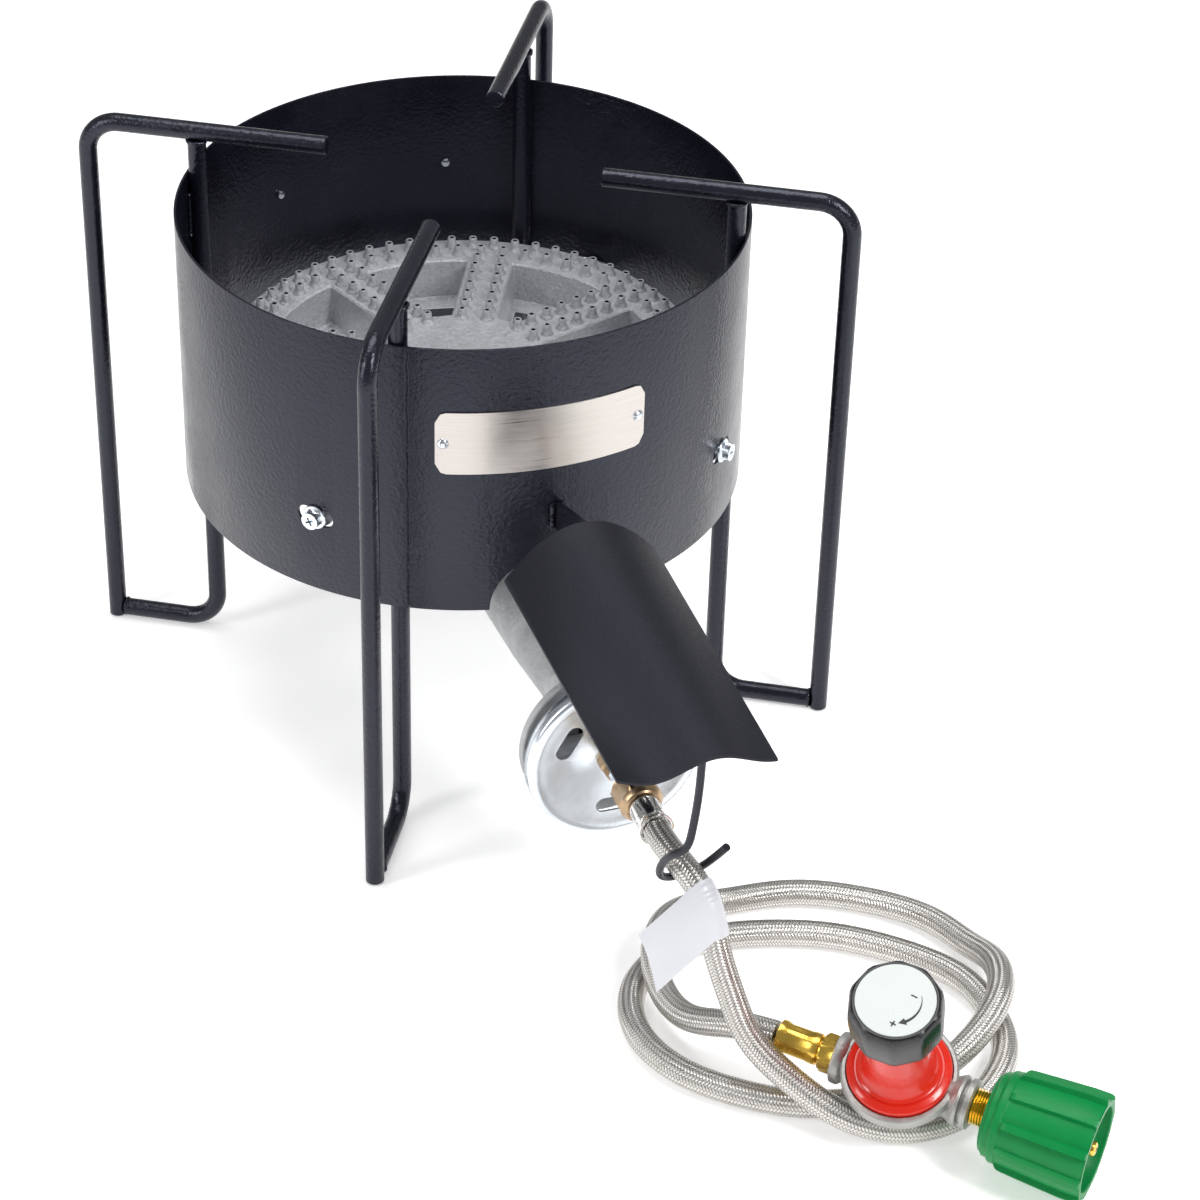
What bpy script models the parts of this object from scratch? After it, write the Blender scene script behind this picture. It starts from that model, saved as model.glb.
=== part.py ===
"""Propane burner stand: a sheet-steel windscreen on four welded rod legs, a cast burner with its
mixer tube and air shutter, a heat shield over the gas fitting, and a braided hose that ends in an
adjustable regulator with a tank connector.

Metres, +Z up, origin on the floor under the middle of the stand. The venturi points along -Y.
"""

import math

import bmesh
import bpy
import numpy as np
from mathutils import Matrix, Vector

# Gap left between pieces that touch.
GAP = 0.0003

# Windscreen drum.
DRUM_RADIUS = 0.1524
DRUM_WALL = 0.0015
DRUM_BOTTOM = 0.1392
DRUM_TOP = 0.2952
DRUM_FACETS = 96
NOTCH_RADIUS = 0.0315

# Leg frames, bent from round bar.
ROD_RADIUS = 0.005
LEG_TIP = 0.074
LEG_OUTER = 0.2063
LEG_INNER = DRUM_RADIUS - DRUM_WALL - ROD_RADIUS - 0.0004
LEG_BEND = 0.018
POT_BAR_Z = 0.320
LEG_ANGLES = {"front": -120, "right": -30, "back": 60, "left": 150}

# Burner casting and its mounting screws.
BURNER_RADIUS = 0.132
BURNER_TOP = 0.2012
BURNER_DEPTH = 0.028
BURNER_HUB = 0.0445
SPOKE_COUNT = 8
SPOKE_TURN = 19.85
SPOKE_HALF_WIDTH = 0.012
POCKET_OUTER = 0.1085
WINDOW_OUTER = 0.095
POCKET_DEPTH = 0.0235
CASTING_WALL = 0.0035
SCREW_Z = 0.184
SCREW_ANGLES = (-137, -43, 43, 137)
SCREW_RADIUS = 0.003

# Mixer tube, air shutter and gas fitting, along the venturi's axis.
VENTURI_Z = 0.117
MIXER_ELBOW = 0.038
BELL_FACE = 0.2445
BELL_RADIUS = 0.0445
SHUTTER_FACE = 0.2606
SHUTTER_RADIUS = 0.0461
SHUTTER_SHEET = 0.0012
STEM_RADIUS = 0.0062

# Heat shield, from its arched end by the drum to its flatter outer end.
SHIELD_START = 0.200
SHIELD_END = 0.370
SHIELD_HALF_WIDTH = 0.040
SHIELD_EDGE_Z = 0.193
SHIELD_RISE = 0.027
SHIELD_SHEET = 0.0015

# Braided hose.
HOSE_RADIUS = 0.007
HOSE_SAMPLES = 78

# Regulator: the middle of its body, its turn (roll, pitch, yaw), and sizes along its own axes:
# +X runs to the tank connector and +Z up the bonnet.
REGULATOR_AT = (0.086, -0.436, 0.032)
REGULATOR_TURN = (21.0, 2.35, -44.0)
NUT_START = 0.046
NUT_END = 0.100
NUT_RADIUS = 0.0275

# The legs' reach along Y and the shield's end set the middle of the stand.
LEG_REACH = LEG_OUTER * math.sin(math.radians(LEG_ANGLES["back"])) + ROD_RADIUS
DRUM_Y = (SHIELD_END - LEG_REACH) / 2

# The hose's route from the flare nut, down to the floor, twice round and up to the regulator,
# measured from the drum's axis.
HOSE_ROUTE = [
    (0.0, -0.3205, 0.1172), (0.0, -0.3285, 0.1172), (0.0018, -0.3425, 0.1166),
    (0.0085, -0.3625, 0.1075),
    (0.0115, -0.376, 0.0855), (0.017, -0.386, 0.0605), (0.024, -0.397, 0.0405),
    (0.040, -0.416, 0.0245), (0.060, -0.434, 0.013), (0.086, -0.445, 0.0073),
    (0.116, -0.444, 0.0073), (0.143, -0.426, 0.0073), (0.158, -0.404, 0.0073),
    (0.162, -0.378, 0.0073), (0.158, -0.353, 0.0073), (0.143, -0.330, 0.0073),
    (0.114, -0.305, 0.0073), (0.087, -0.292, 0.0073), (0.047, -0.284, 0.0073),
    (0.014, -0.292, 0.0073), (-0.007, -0.314, 0.0073), (-0.013, -0.344, 0.0073),
    (-0.005, -0.370, 0.0073), (0.011, -0.390, 0.0073), (0.042, -0.412, 0.0073),
    (0.077, -0.420, 0.0073), (0.108, -0.416, 0.0085), (0.136, -0.407, 0.016),
    (0.162, -0.385, 0.022), (0.174, -0.353, 0.016), (0.171, -0.328, 0.0085),
    (0.160, -0.302, 0.0073), (0.127, -0.274, 0.0073), (0.096, -0.261, 0.0073),
    (0.063, -0.260, 0.009), (0.029, -0.274, 0.020), (0.009, -0.301, 0.0215),
    (0.005, -0.328, 0.017), (0.010, -0.353, 0.0205), (0.024, -0.375, 0.0315),
    (0.0398, -0.3914, 0.0346),
]

# The wire hook that carries the hose, from under the shield's outer end.
HOOK_RADIUS = 0.002
HOOK_ROUTE = [
    (0.004, -0.3650, 0.1935), (0.003, -0.3650, 0.170), (0.001, -0.3645, 0.150),
    (-0.0015, -0.3635, 0.139), (-0.0055, -0.3600, 0.1335), (-0.0085, -0.3530, 0.1240),
    (-0.0075, -0.3475, 0.1120), (0.0010, -0.3440, 0.1062), (0.0105, -0.3450, 0.1085),
    (0.0155, -0.3510, 0.1170), (0.0215, -0.3590, 0.1310),
]


def clear_scene():
    for old in list(bpy.data.objects):
        bpy.data.objects.remove(old, do_unlink=True)


def new_collection(name):
    group = bpy.data.collections.new(name)
    bpy.context.scene.collection.children.link(group)
    return group


def finish_material(name, colour, roughness, metallic=0.0):
    made = bpy.data.materials.new(name)
    made.use_nodes = True
    shader = made.node_tree.nodes["Principled BSDF"]
    shader.inputs["Base Color"].default_value = (*colour, 1.0)
    shader.inputs["Roughness"].default_value = roughness
    shader.inputs["Metallic"].default_value = metallic
    made.diffuse_color = (*colour, 1.0)
    return made


clear_scene()
PARTS = new_collection("propane_burner_stand")
CUTTERS = new_collection("cutters")

BLACK_PAINT = finish_material("black_paint", (0.012, 0.012, 0.014), 0.35)
BARE_BLACK = finish_material("satin_black", (0.010, 0.010, 0.012), 0.5)
CASTING = finish_material("silver_casting", (0.40, 0.41, 0.42), 0.5, 0.6)
ZINC = finish_material("zinc_plate", (0.75, 0.76, 0.78), 0.25, 1.0)
STEEL = finish_material("brushed_steel", (0.62, 0.60, 0.57), 0.35, 1.0)
BRASS = finish_material("brass", (0.70, 0.48, 0.14), 0.25, 1.0)
CHROME = finish_material("chrome", (0.8, 0.8, 0.8), 0.12, 1.0)
DIE_CAST = finish_material("die_cast_zinc", (0.50, 0.50, 0.49), 0.4, 0.8)
BRAID = finish_material("steel_braid", (0.60, 0.57, 0.53), 0.35, 0.9)
RED_PLASTIC = finish_material("red_enamel", (0.75, 0.02, 0.01), 0.3)
BLACK_PLASTIC = finish_material("black_plastic", (0.02, 0.02, 0.02), 0.4)
GREEN_PLASTIC = finish_material("green_plastic", (0.005, 0.30, 0.07), 0.4)
WHITE_FILM = finish_material("white_film", (0.85, 0.86, 0.88), 0.5)
RUBBER = finish_material("black_rubber", (0.02, 0.02, 0.02), 0.8)


def empty(name, at, parent=None, turn=(0, 0, 0)):
    made = bpy.data.objects.new(name, None)
    made.location = at
    made.rotation_euler = [math.radians(angle) for angle in turn]
    made.parent = parent
    PARTS.objects.link(made)
    return made


STAND = empty("stand", (0, DRUM_Y, 0))
VENTURI = empty("venturi_axis", (0, 0, VENTURI_Z), STAND, (90, 0, 0))
REGULATOR = empty("regulator_axes", REGULATOR_AT, STAND, REGULATOR_TURN)
# Turns a piece's own +Z onto the regulator's +X.
TO_TANK = (0, 90, 0)


def place(obj, parent, at=(0, 0, 0), turn=(0, 0, 0)):
    obj.parent = parent
    obj.location = at
    obj.rotation_euler = [math.radians(angle) for angle in turn]
    return obj


def mesh_piece(name, bm, material, group=None):
    """A new object from a bmesh, shaded smooth apart from its sharp edges."""
    mesh = bpy.data.meshes.new(name)
    bmesh.ops.recalc_face_normals(bm, faces=bm.faces)
    bm.to_mesh(mesh)
    bm.free()
    mesh.shade_smooth()
    mesh.set_sharp_from_angle(angle=math.radians(35))
    mesh.materials.append(material)
    made = bpy.data.objects.new(name, mesh)
    (group or PARTS).objects.link(made)
    return made


def circle_points(radius, count, centre=(0, 0), start=0.0, sweep=360.0):
    """Points along an arc; a full circle leaves out its last point."""
    steps = count if sweep == 360.0 else count - 1
    angles = [math.radians(start + sweep * i / steps) for i in range(count)]
    return [(centre[0] + radius * math.cos(a), centre[1] + radius * math.sin(a)) for a in angles]


def turned(name, profile, material, facets=32, group=None):
    """A profile of (radius, height) points turned about Z. It runs down its outer side."""
    mesh = bpy.data.meshes.new(name)
    points = [(radius, 0, height) for radius, height in profile]
    open_ended = profile[0][0] == 0 and profile[-1][0] == 0
    last = len(points) - 1 if open_ended else len(points)
    mesh.from_pydata(points, [(i, (i + 1) % len(points)) for i in range(last)], [])
    mesh.materials.append(material)
    made = bpy.data.objects.new(name, mesh)
    (group or PARTS).objects.link(made)
    screw = made.modifiers.new("turn", "SCREW")
    screw.steps = screw.render_steps = facets
    screw.use_merge_vertices = True
    screw.merge_threshold = 0.00001
    screw.use_smooth_shade = True
    return made


def prism(name, outlines, height, material, group=None):
    """Flat outlines, the first one outside and the rest holes, extruded to height from z = 0."""
    curve = bpy.data.curves.new(name, "CURVE")
    curve.dimensions = "2D"
    curve.fill_mode = "BOTH"
    curve.extrude = height / 2
    for outline in outlines:
        spline = curve.splines.new("POLY")
        spline.points.add(len(outline) - 1)
        for point, (x, y) in zip(spline.points, outline):
            point.co = (x, y, 0, 1)
        spline.use_cyclic_u = True
    flat = bpy.data.objects.new(name + "_outline", curve)
    bpy.context.scene.collection.objects.link(flat)
    bpy.context.view_layer.update()
    graph = bpy.context.evaluated_depsgraph_get()
    mesh = bpy.data.meshes.new_from_object(flat.evaluated_get(graph))
    bpy.data.objects.remove(flat, do_unlink=True)
    bm = bmesh.new()
    bm.from_mesh(mesh)
    bpy.data.meshes.remove(mesh)
    bmesh.ops.remove_doubles(bm, verts=bm.verts, dist=0.00001)
    bmesh.ops.translate(bm, verts=bm.verts, vec=(0, 0, height / 2))
    return mesh_piece(name, bm, material, group)


def rod(name, points, radius, material, sides=4, tilt=0.0):
    """A round bar along a list of points."""
    curve = bpy.data.curves.new(name, "CURVE")
    curve.dimensions = "3D"
    curve.bevel_depth = radius
    curve.bevel_resolution = sides
    curve.use_fill_caps = True
    spline = curve.splines.new("POLY")
    spline.points.add(len(points) - 1)
    for point, place_at in zip(spline.points, points):
        point.co = (*place_at, 1)
        point.tilt = math.radians(tilt)
    curve.materials.append(material)
    made = bpy.data.objects.new(name, curve)
    PARTS.objects.link(made)
    return made


def slab(name, front, back, material):
    """A sheet between two grids of points, each a list of rows."""
    bm = bmesh.new()
    sides = [[[bm.verts.new(point) for point in row] for row in grid] for grid in (front, back)]
    rows, columns = len(front), len(front[0])
    for grid in sides:
        for i in range(rows - 1):
            for j in range(columns - 1):
                bm.faces.new((grid[i][j], grid[i + 1][j], grid[i + 1][j + 1], grid[i][j + 1]))
    a, b = sides
    for i in range(rows - 1):
        for j in (0, columns - 1):
            bm.faces.new((a[i][j], a[i + 1][j], b[i + 1][j], b[i][j]))
    for j in range(columns - 1):
        for i in (0, rows - 1):
            bm.faces.new((a[i][j], a[i][j + 1], b[i][j + 1], b[i][j]))
    return mesh_piece(name, bm, material)


def lathe(name, profile, facets, material, shape, group=None):
    """Rings of (radius, height, share) about Z. The share says how far each ring takes the shape's
    form, a scale of the radius by angle, in place of a plain circle."""
    bm = bmesh.new()
    rings = []
    for radius, height, share in profile:
        if radius == 0:
            rings.append([bm.verts.new((0, 0, height))] * facets)
            continue
        ring = []
        for i in range(facets):
            angle = 360 * i / facets
            reach = radius * (1 + share * (shape(angle) - 1))
            ring.append(bm.verts.new(radial(angle, reach, height)))
        rings.append(ring)
    pairs = list(zip(rings, rings[1:]))
    if profile[0][0] > 0:
        pairs.append((rings[-1], rings[0]))
    for above, below in pairs:
        for i in range(facets):
            j = (i + 1) % facets
            corners = dict.fromkeys((above[i], above[j], below[j], below[i]))
            bm.faces.new(list(corners))
    return mesh_piece(name, bm, material, group)


def hexagonal(angle):
    """A hexagon's radius at an angle, as a share of its corner radius."""
    return math.cos(math.radians(30)) / math.cos(math.radians(angle % 60 - 30))


def smooth_line(route, count):
    """Evenly spaced points along a cubic curve through the route."""
    knots = np.array(route, float)
    last = len(knots) - 1
    gaps = np.sqrt(np.linalg.norm(np.diff(knots, axis=0), axis=1))
    system = np.eye(last + 1)
    right = np.zeros((last + 1, 3))
    slopes = np.diff(knots, axis=0) / gaps[:, None]
    for i in range(1, last):
        system[i, i - 1:i + 2] = gaps[i - 1], 2 * (gaps[i - 1] + gaps[i]), gaps[i]
        right[i] = 6 * (slopes[i] - slopes[i - 1])
    bends = np.linalg.solve(system, right)
    line = []
    for i in range(last):
        gap = gaps[i]
        for part in np.linspace(0, gap, 24, endpoint=False):
            rest = gap - part
            point = (bends[i] * rest**3 + bends[i + 1] * part**3) / (6 * gap)
            point = point + (knots[i] / gap - bends[i] * gap / 6) * rest
            line.append(point + (knots[i + 1] / gap - bends[i + 1] * gap / 6) * part)
    line = np.array(line + [knots[-1]])
    along = np.concatenate([[0], np.cumsum(np.linalg.norm(np.diff(line, axis=0), axis=1))])
    even = np.linspace(0, along[-1], count)
    spots = np.column_stack([np.interp(even, along, line[:, axis]) for axis in range(3)])
    return [Vector(spot) for spot in spots]


def cut(target, cutter, operation="DIFFERENCE"):
    cutter.hide_render = True
    cutter.display_type = "WIRE"
    change = target.modifiers.new(cutter.name, "BOOLEAN")
    change.object = cutter
    change.operation = operation
    return cutter


def cylinder(name, radius, depth, facets=24, material=STEEL, group=None):
    """A cylinder about Z, centred on its origin."""
    bm = bmesh.new()
    bmesh.ops.create_cone(bm, cap_ends=True, segments=facets, radius1=radius, radius2=radius, depth=depth)
    return mesh_piece(name, bm, material, group or CUTTERS)


def radial(angle, radius, height):
    """A point at an angle and a distance from the drum's axis."""
    around = math.radians(angle)
    return (radius * math.cos(around), radius * math.sin(around), height)


def slot_outline(length, width, points=8):
    reach = (length - width) / 2
    right = circle_points(width / 2, points, (reach, 0), -90, 180)
    left = circle_points(width / 2, points, (-reach, 0), 90, 180)
    return right + left


def rounded_box(length, width, corner, points=5):
    x, y = length / 2 - corner, width / 2 - corner
    outline = []
    for start, centre in ((0, (x, y)), (90, (-x, y)), (180, (-x, -y)), (270, (x, -y))):
        outline += circle_points(corner, points, centre, start, 90)
    return outline


# ---------------------------------------------------------------- windscreen and plates

PLATE_LENGTH = 0.112
PLATE_HEIGHT = 0.036
PLATE_Z = 0.2415
PLATE_SHEET = 0.0008
PLATE_MIDDLES = {"nameplate": -91.4, "rating_plate": 96.5}
RIVET_SPREAD = 19.55
RIVET_RADIUS = 0.0016


def make_windscreen():
    outer, inner = DRUM_RADIUS, DRUM_RADIUS - DRUM_WALL
    wall = [(outer, DRUM_TOP), (outer, DRUM_BOTTOM), (inner, DRUM_BOTTOM), (inner, DRUM_TOP)]
    drum = place(turned("windscreen", wall, BLACK_PAINT, DRUM_FACETS), STAND)
    notch = cylinder("notch_cutter", NOTCH_RADIUS, 0.06, 32)
    place(notch, STAND, (0, -DRUM_RADIUS, DRUM_BOTTOM), (90, 0, 0))
    cut(drum, notch)
    for i, angle in enumerate(SCREW_ANGLES):
        slot = prism(f"slot_cutter_{i}", [slot_outline(0.021, 0.010)], 0.03, STEEL, CUTTERS)
        place(slot, STAND, radial(angle, DRUM_RADIUS - 0.015, SCREW_Z), (90, 0, angle + 90))
        cut(drum, slot)
    for name, middle in PLATE_MIDDLES.items():
        for side in (-1, 1):
            hole = cylinder(f"{name}_drum_hole_{side}", RIVET_RADIUS + GAP, 0.02, 12)
            angle = middle + side * RIVET_SPREAD
            place(hole, STAND, radial(angle, DRUM_RADIUS, PLATE_Z), (0, 90, angle))
            cut(drum, hole)


def curved_plate(name, middle, material):
    """A sheet with round corners, bent round the drum, with its two rivet holes."""
    columns, corner = 16, 0.006
    half_length, half_height = PLATE_LENGTH / 2, PLATE_HEIGHT / 2
    faces = []
    for radius in (DRUM_RADIUS + GAP, DRUM_RADIUS + GAP + PLATE_SHEET):
        rows = []
        for i in range(columns + 1):
            along = -half_length + PLATE_LENGTH * i / columns
            past = max(0.0, abs(along) - (half_length - corner))
            reach = half_height - corner + math.sqrt(max(0.0, corner**2 - past**2))
            angle = middle + math.degrees(along / DRUM_RADIUS)
            rows.append([radial(angle, radius, PLATE_Z + reach * side) for side in (-1, -0.4, 0.4, 1)])
        faces.append(rows)
    plate = place(slab(name, *faces, material), STAND)
    for side, word in ((-1, "left"), (1, "right")):
        angle = middle + side * RIVET_SPREAD
        hole = cylinder(f"{name}_{word}_hole", RIVET_RADIUS + GAP, 0.01, 12)
        place(hole, STAND, radial(angle, DRUM_RADIUS, PLATE_Z), (0, 90, angle))
        cut(plate, hole)
        rivet = turned(f"{name}_rivet_{word}", RIVET_PROFILE, STEEL, 12)
        place(rivet, STAND, radial(angle, DRUM_RADIUS, PLATE_Z), (0, 90, angle))


# A rivet's dome outside the plate, its shank through both sheets and its tail inside the drum.
RIVET_HEAD = GAP + PLATE_SHEET + GAP + 0.0002
RIVET_PROFILE = [
    (0, RIVET_HEAD + 0.0013), (0.0016, RIVET_HEAD + 0.0011), (0.0029, RIVET_HEAD + 0.0004),
    (0.0031, RIVET_HEAD), (RIVET_RADIUS, RIVET_HEAD), (RIVET_RADIUS, -DRUM_WALL - 0.0005),
    (0.0023, -DRUM_WALL - 0.0005), (0.0021, -DRUM_WALL - 0.0022), (0, -DRUM_WALL - 0.0024),
]


# ---------------------------------------------------------------- legs

FACET_UP = 15.0


def make_leg(side, angle):
    """A leg frame in the plane through the drum's axis: an outer rod that turns in over the drum
    as the pot rest, and an inner rod from the foot up the drum's inside."""
    turn = Matrix.Rotation(math.radians(angle), 4, "Z")
    arc = 6
    upper = circle_points(LEG_BEND, arc, (LEG_OUTER - LEG_BEND, POT_BAR_Z - LEG_BEND), 90, -90)
    outer = [(LEG_TIP, POT_BAR_Z), *upper, (LEG_OUTER, 0.0)]
    lower = circle_points(LEG_BEND, arc, (LEG_INNER + LEG_BEND, ROD_RADIUS + LEG_BEND), 270, -90)
    start = LEG_OUTER - ROD_RADIUS - GAP
    inner = [(start, ROD_RADIUS), *lower, (LEG_INNER, POT_BAR_Z - ROD_RADIUS - GAP)]
    for name, line in ((f"leg_{side}_outer_rod", outer), (f"leg_{side}_inner_rod", inner)):
        points = [turn @ Vector((out, 0, height)) for out, height in line]
        place(rod(name, points, ROD_RADIUS, BLACK_PAINT, 4, FACET_UP), STAND)


# ---------------------------------------------------------------- burner casting

INLET_RADIUS = 0.017
BURNER_BOSS = 0.024
BURNER_BOTTOM = BURNER_TOP - BURNER_DEPTH
BOSS_BOTTOM = 0.158
EARS = (0.078, 0.040)
EAR_SCREW_X = 0.031
EAR_SCREW_RADIUS = 0.0025
LUG_REACH = 0.1490
LUG_RADIUS = 0.0085


def pocket_outline(margin, outer=POCKET_OUTER):
    """One pocket between two spokes, pointing along +X, grown by a margin on every side."""
    half_step = math.radians(180 / SPOKE_COUNT)
    away = SPOKE_HALF_WIDTH - margin
    far, near = outer + margin, BURNER_HUB - margin
    # Each side wall runs parallel to its spoke; these are its ends on the far and near circles.
    far_half = half_step - math.asin(away / far)
    near_half = max(0.02, half_step - math.asin(min(0.99, away / near)))
    sweep = math.degrees(far_half)
    rim = circle_points(far, 9, (0, 0), -sweep, 2 * sweep)
    hub_sweep = math.degrees(near_half)
    hub = circle_points(near, 3, (0, 0), hub_sweep, -2 * hub_sweep)
    return rim + hub


def make_pocket_cutters(margin, bottom, label):
    """The eight pockets as one cutter each, reaching up past the top face."""
    made = []
    for i in range(SPOKE_COUNT):
        height = BURNER_TOP + 0.004 - bottom
        pocket = prism(f"{label}_{i}", [pocket_outline(margin)], height, CASTING, CUTTERS)
        place(pocket, STAND, (0, 0, bottom), (0, 0, SPOKE_TURN + (i + 0.5) * 360 / SPOKE_COUNT))
        made.append(pocket)
    return made


def make_burner_head():
    """A disc with eight pockets, hollow between them so that gas reaches every spoke and the rim."""
    half = CASTING_WALL / 2
    profile = [
        (0, BURNER_TOP), (BURNER_RADIUS - half, BURNER_TOP), (BURNER_RADIUS, BURNER_TOP - half),
        (BURNER_RADIUS - 0.002, BURNER_BOTTOM), (BURNER_BOSS + 0.006, BURNER_BOTTOM),
        (BURNER_BOSS, BURNER_BOTTOM - 0.004), (BURNER_BOSS, BOSS_BOTTOM), (0, BOSS_BOTTOM),
    ]
    head = place(turned("burner_head", profile, CASTING, 64), STAND)
    for i, angle in enumerate(SCREW_ANGLES):
        lug = cylinder(f"lug_{i}", LUG_RADIUS, LUG_REACH - 0.122, 12)
        place(lug, STAND, radial(angle, (LUG_REACH + 0.122) / 2, SCREW_Z), (0, 90, angle))
        cut(head, lug, "UNION")
    ears = prism("boss_ears", [slot_outline(*EARS)], BURNER_BOTTOM - BOSS_BOTTOM + 0.001, CASTING, CUTTERS)
    place(ears, STAND, (0, 0, BOSS_BOTTOM))
    cut(head, ears, "UNION")
    floor = BURNER_TOP - POCKET_DEPTH
    for pocket in make_pocket_cutters(0.0, floor, "pocket"):
        cut(head, pocket)
    gas_top, gas_bottom = BURNER_TOP - CASTING_WALL, BURNER_BOTTOM + CASTING_WALL
    gas_radius = BURNER_RADIUS - CASTING_WALL - 0.002
    gas_profile = [(0, gas_top), (gas_radius, gas_top), (gas_radius, gas_bottom), (0, gas_bottom)]
    gas_way = place(turned("gas_way", gas_profile, CASTING, 48, CUTTERS), STAND)
    for pocket in make_pocket_cutters(CASTING_WALL, gas_bottom - 0.002, "gas_island"):
        cut(gas_way, pocket)
    cut(head, gas_way)
    inlet = cylinder("inlet_cutter", INLET_RADIUS, 0.04, 20)
    place(inlet, STAND, (0, 0, BURNER_BOTTOM - 0.005))
    cut(head, inlet)
    for side in (-1, 1):
        thread = cylinder(f"ear_thread_{side}", EAR_SCREW_RADIUS + GAP, 0.024, 12)
        place(thread, STAND, (side * EAR_SCREW_X, 0, BOSS_BOTTOM))
        cut(head, thread)
    window_outline = pocket_outline(WINDOW_MARGIN, WINDOW_OUTER)
    for i in range(SPOKE_COUNT):
        window = prism(f"window_{i}", [window_outline], 0.012, CASTING, CUTTERS)
        turn = SPOKE_TURN + (i + 0.5) * 360 / SPOKE_COUNT
        place(window, STAND, (0, 0, BURNER_BOTTOM - 0.003), (0, 0, turn))
        cut(head, window)
    for i, angle in enumerate(SCREW_ANGLES):
        thread = cylinder(f"lug_hole_{i}", SCREW_RADIUS + GAP, 0.020, 12)
        place(thread, STAND, radial(angle, LUG_REACH - 0.0095, SCREW_Z), (0, 90, angle))
        cut(head, thread)
        place(
            lathe(f"mount_screw_{i + 1}", SCREW_PROFILE, 12, ZINC, hexagonal),
            STAND, radial(angle, DRUM_RADIUS, SCREW_Z), (0, 90, angle),
        )


# Air rises through the window in a pocket's floor, which leaves a narrow lip all round
# and a wide ledge along the rim.
WINDOW_MARGIN = -0.0006

# A screw's hexagon and washer outside the drum and its shank, about an outward axis.
SCREW_HEAD = 0.0062
SCREW_PROFILE = [
    (0, SCREW_HEAD, 0), (0.0044, SCREW_HEAD, 0.5), (0.0052, SCREW_HEAD - 0.0007, 1), (0.0052, 0.0020, 1),
    (0.0066, 0.0018, 0), (0.0068, 0.0012, 0), (0.0066, GAP, 0), (SCREW_RADIUS, GAP, 0),
    (SCREW_RADIUS, -0.0185, 0), (0.0022, -0.0195, 0), (0, -0.0195, 0),
]


# ---------------------------------------------------------------- mixer tube and air shutter

SLOT_ANGLES = (-90, 30, 150)


ELBOW_STEPS = 6
ELBOW_FACETS = 20


def elbow(name, radius, top):
    """A round bar from the venturi's axis, round the bend and straight up to a height over it."""
    path = [(0, MIXER_ELBOW + 0.006, 0.0)]
    for i in range(ELBOW_STEPS + 1):
        turn = 90 * i / ELBOW_STEPS
        rise = MIXER_ELBOW * (1 - math.cos(math.radians(turn)))
        back = MIXER_ELBOW * (1 - math.sin(math.radians(turn)))
        path.append((rise, back, turn))
    path.append((top, 0, 90.0))
    bm = bmesh.new()
    rings = []
    for rise, back, turn in path:
        lean = Matrix.Rotation(math.radians(turn), 3, "X")
        centre = Vector((0, rise, back))
        flat = circle_points(radius, ELBOW_FACETS)
        rings.append([bm.verts.new(lean @ Vector((x, y, 0)) + centre) for x, y in flat])
    for near, far in zip(rings, rings[1:]):
        for i in range(ELBOW_FACETS):
            bm.faces.new((near[i], near[i - 1], far[i - 1], far[i]))
    bm.faces.new(rings[0])
    bm.faces.new(rings[-1])
    return place(mesh_piece(name, bm, CASTING, CUTTERS), VENTURI)


MIXER_TOP = BOSS_BOTTOM - GAP
MIXER_WALL_RADIUS = 0.0225
MIXER_BORE = 0.018
FLANGE_THICKNESS = 0.006
BRIDGE_FACE = 0.2475


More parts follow.
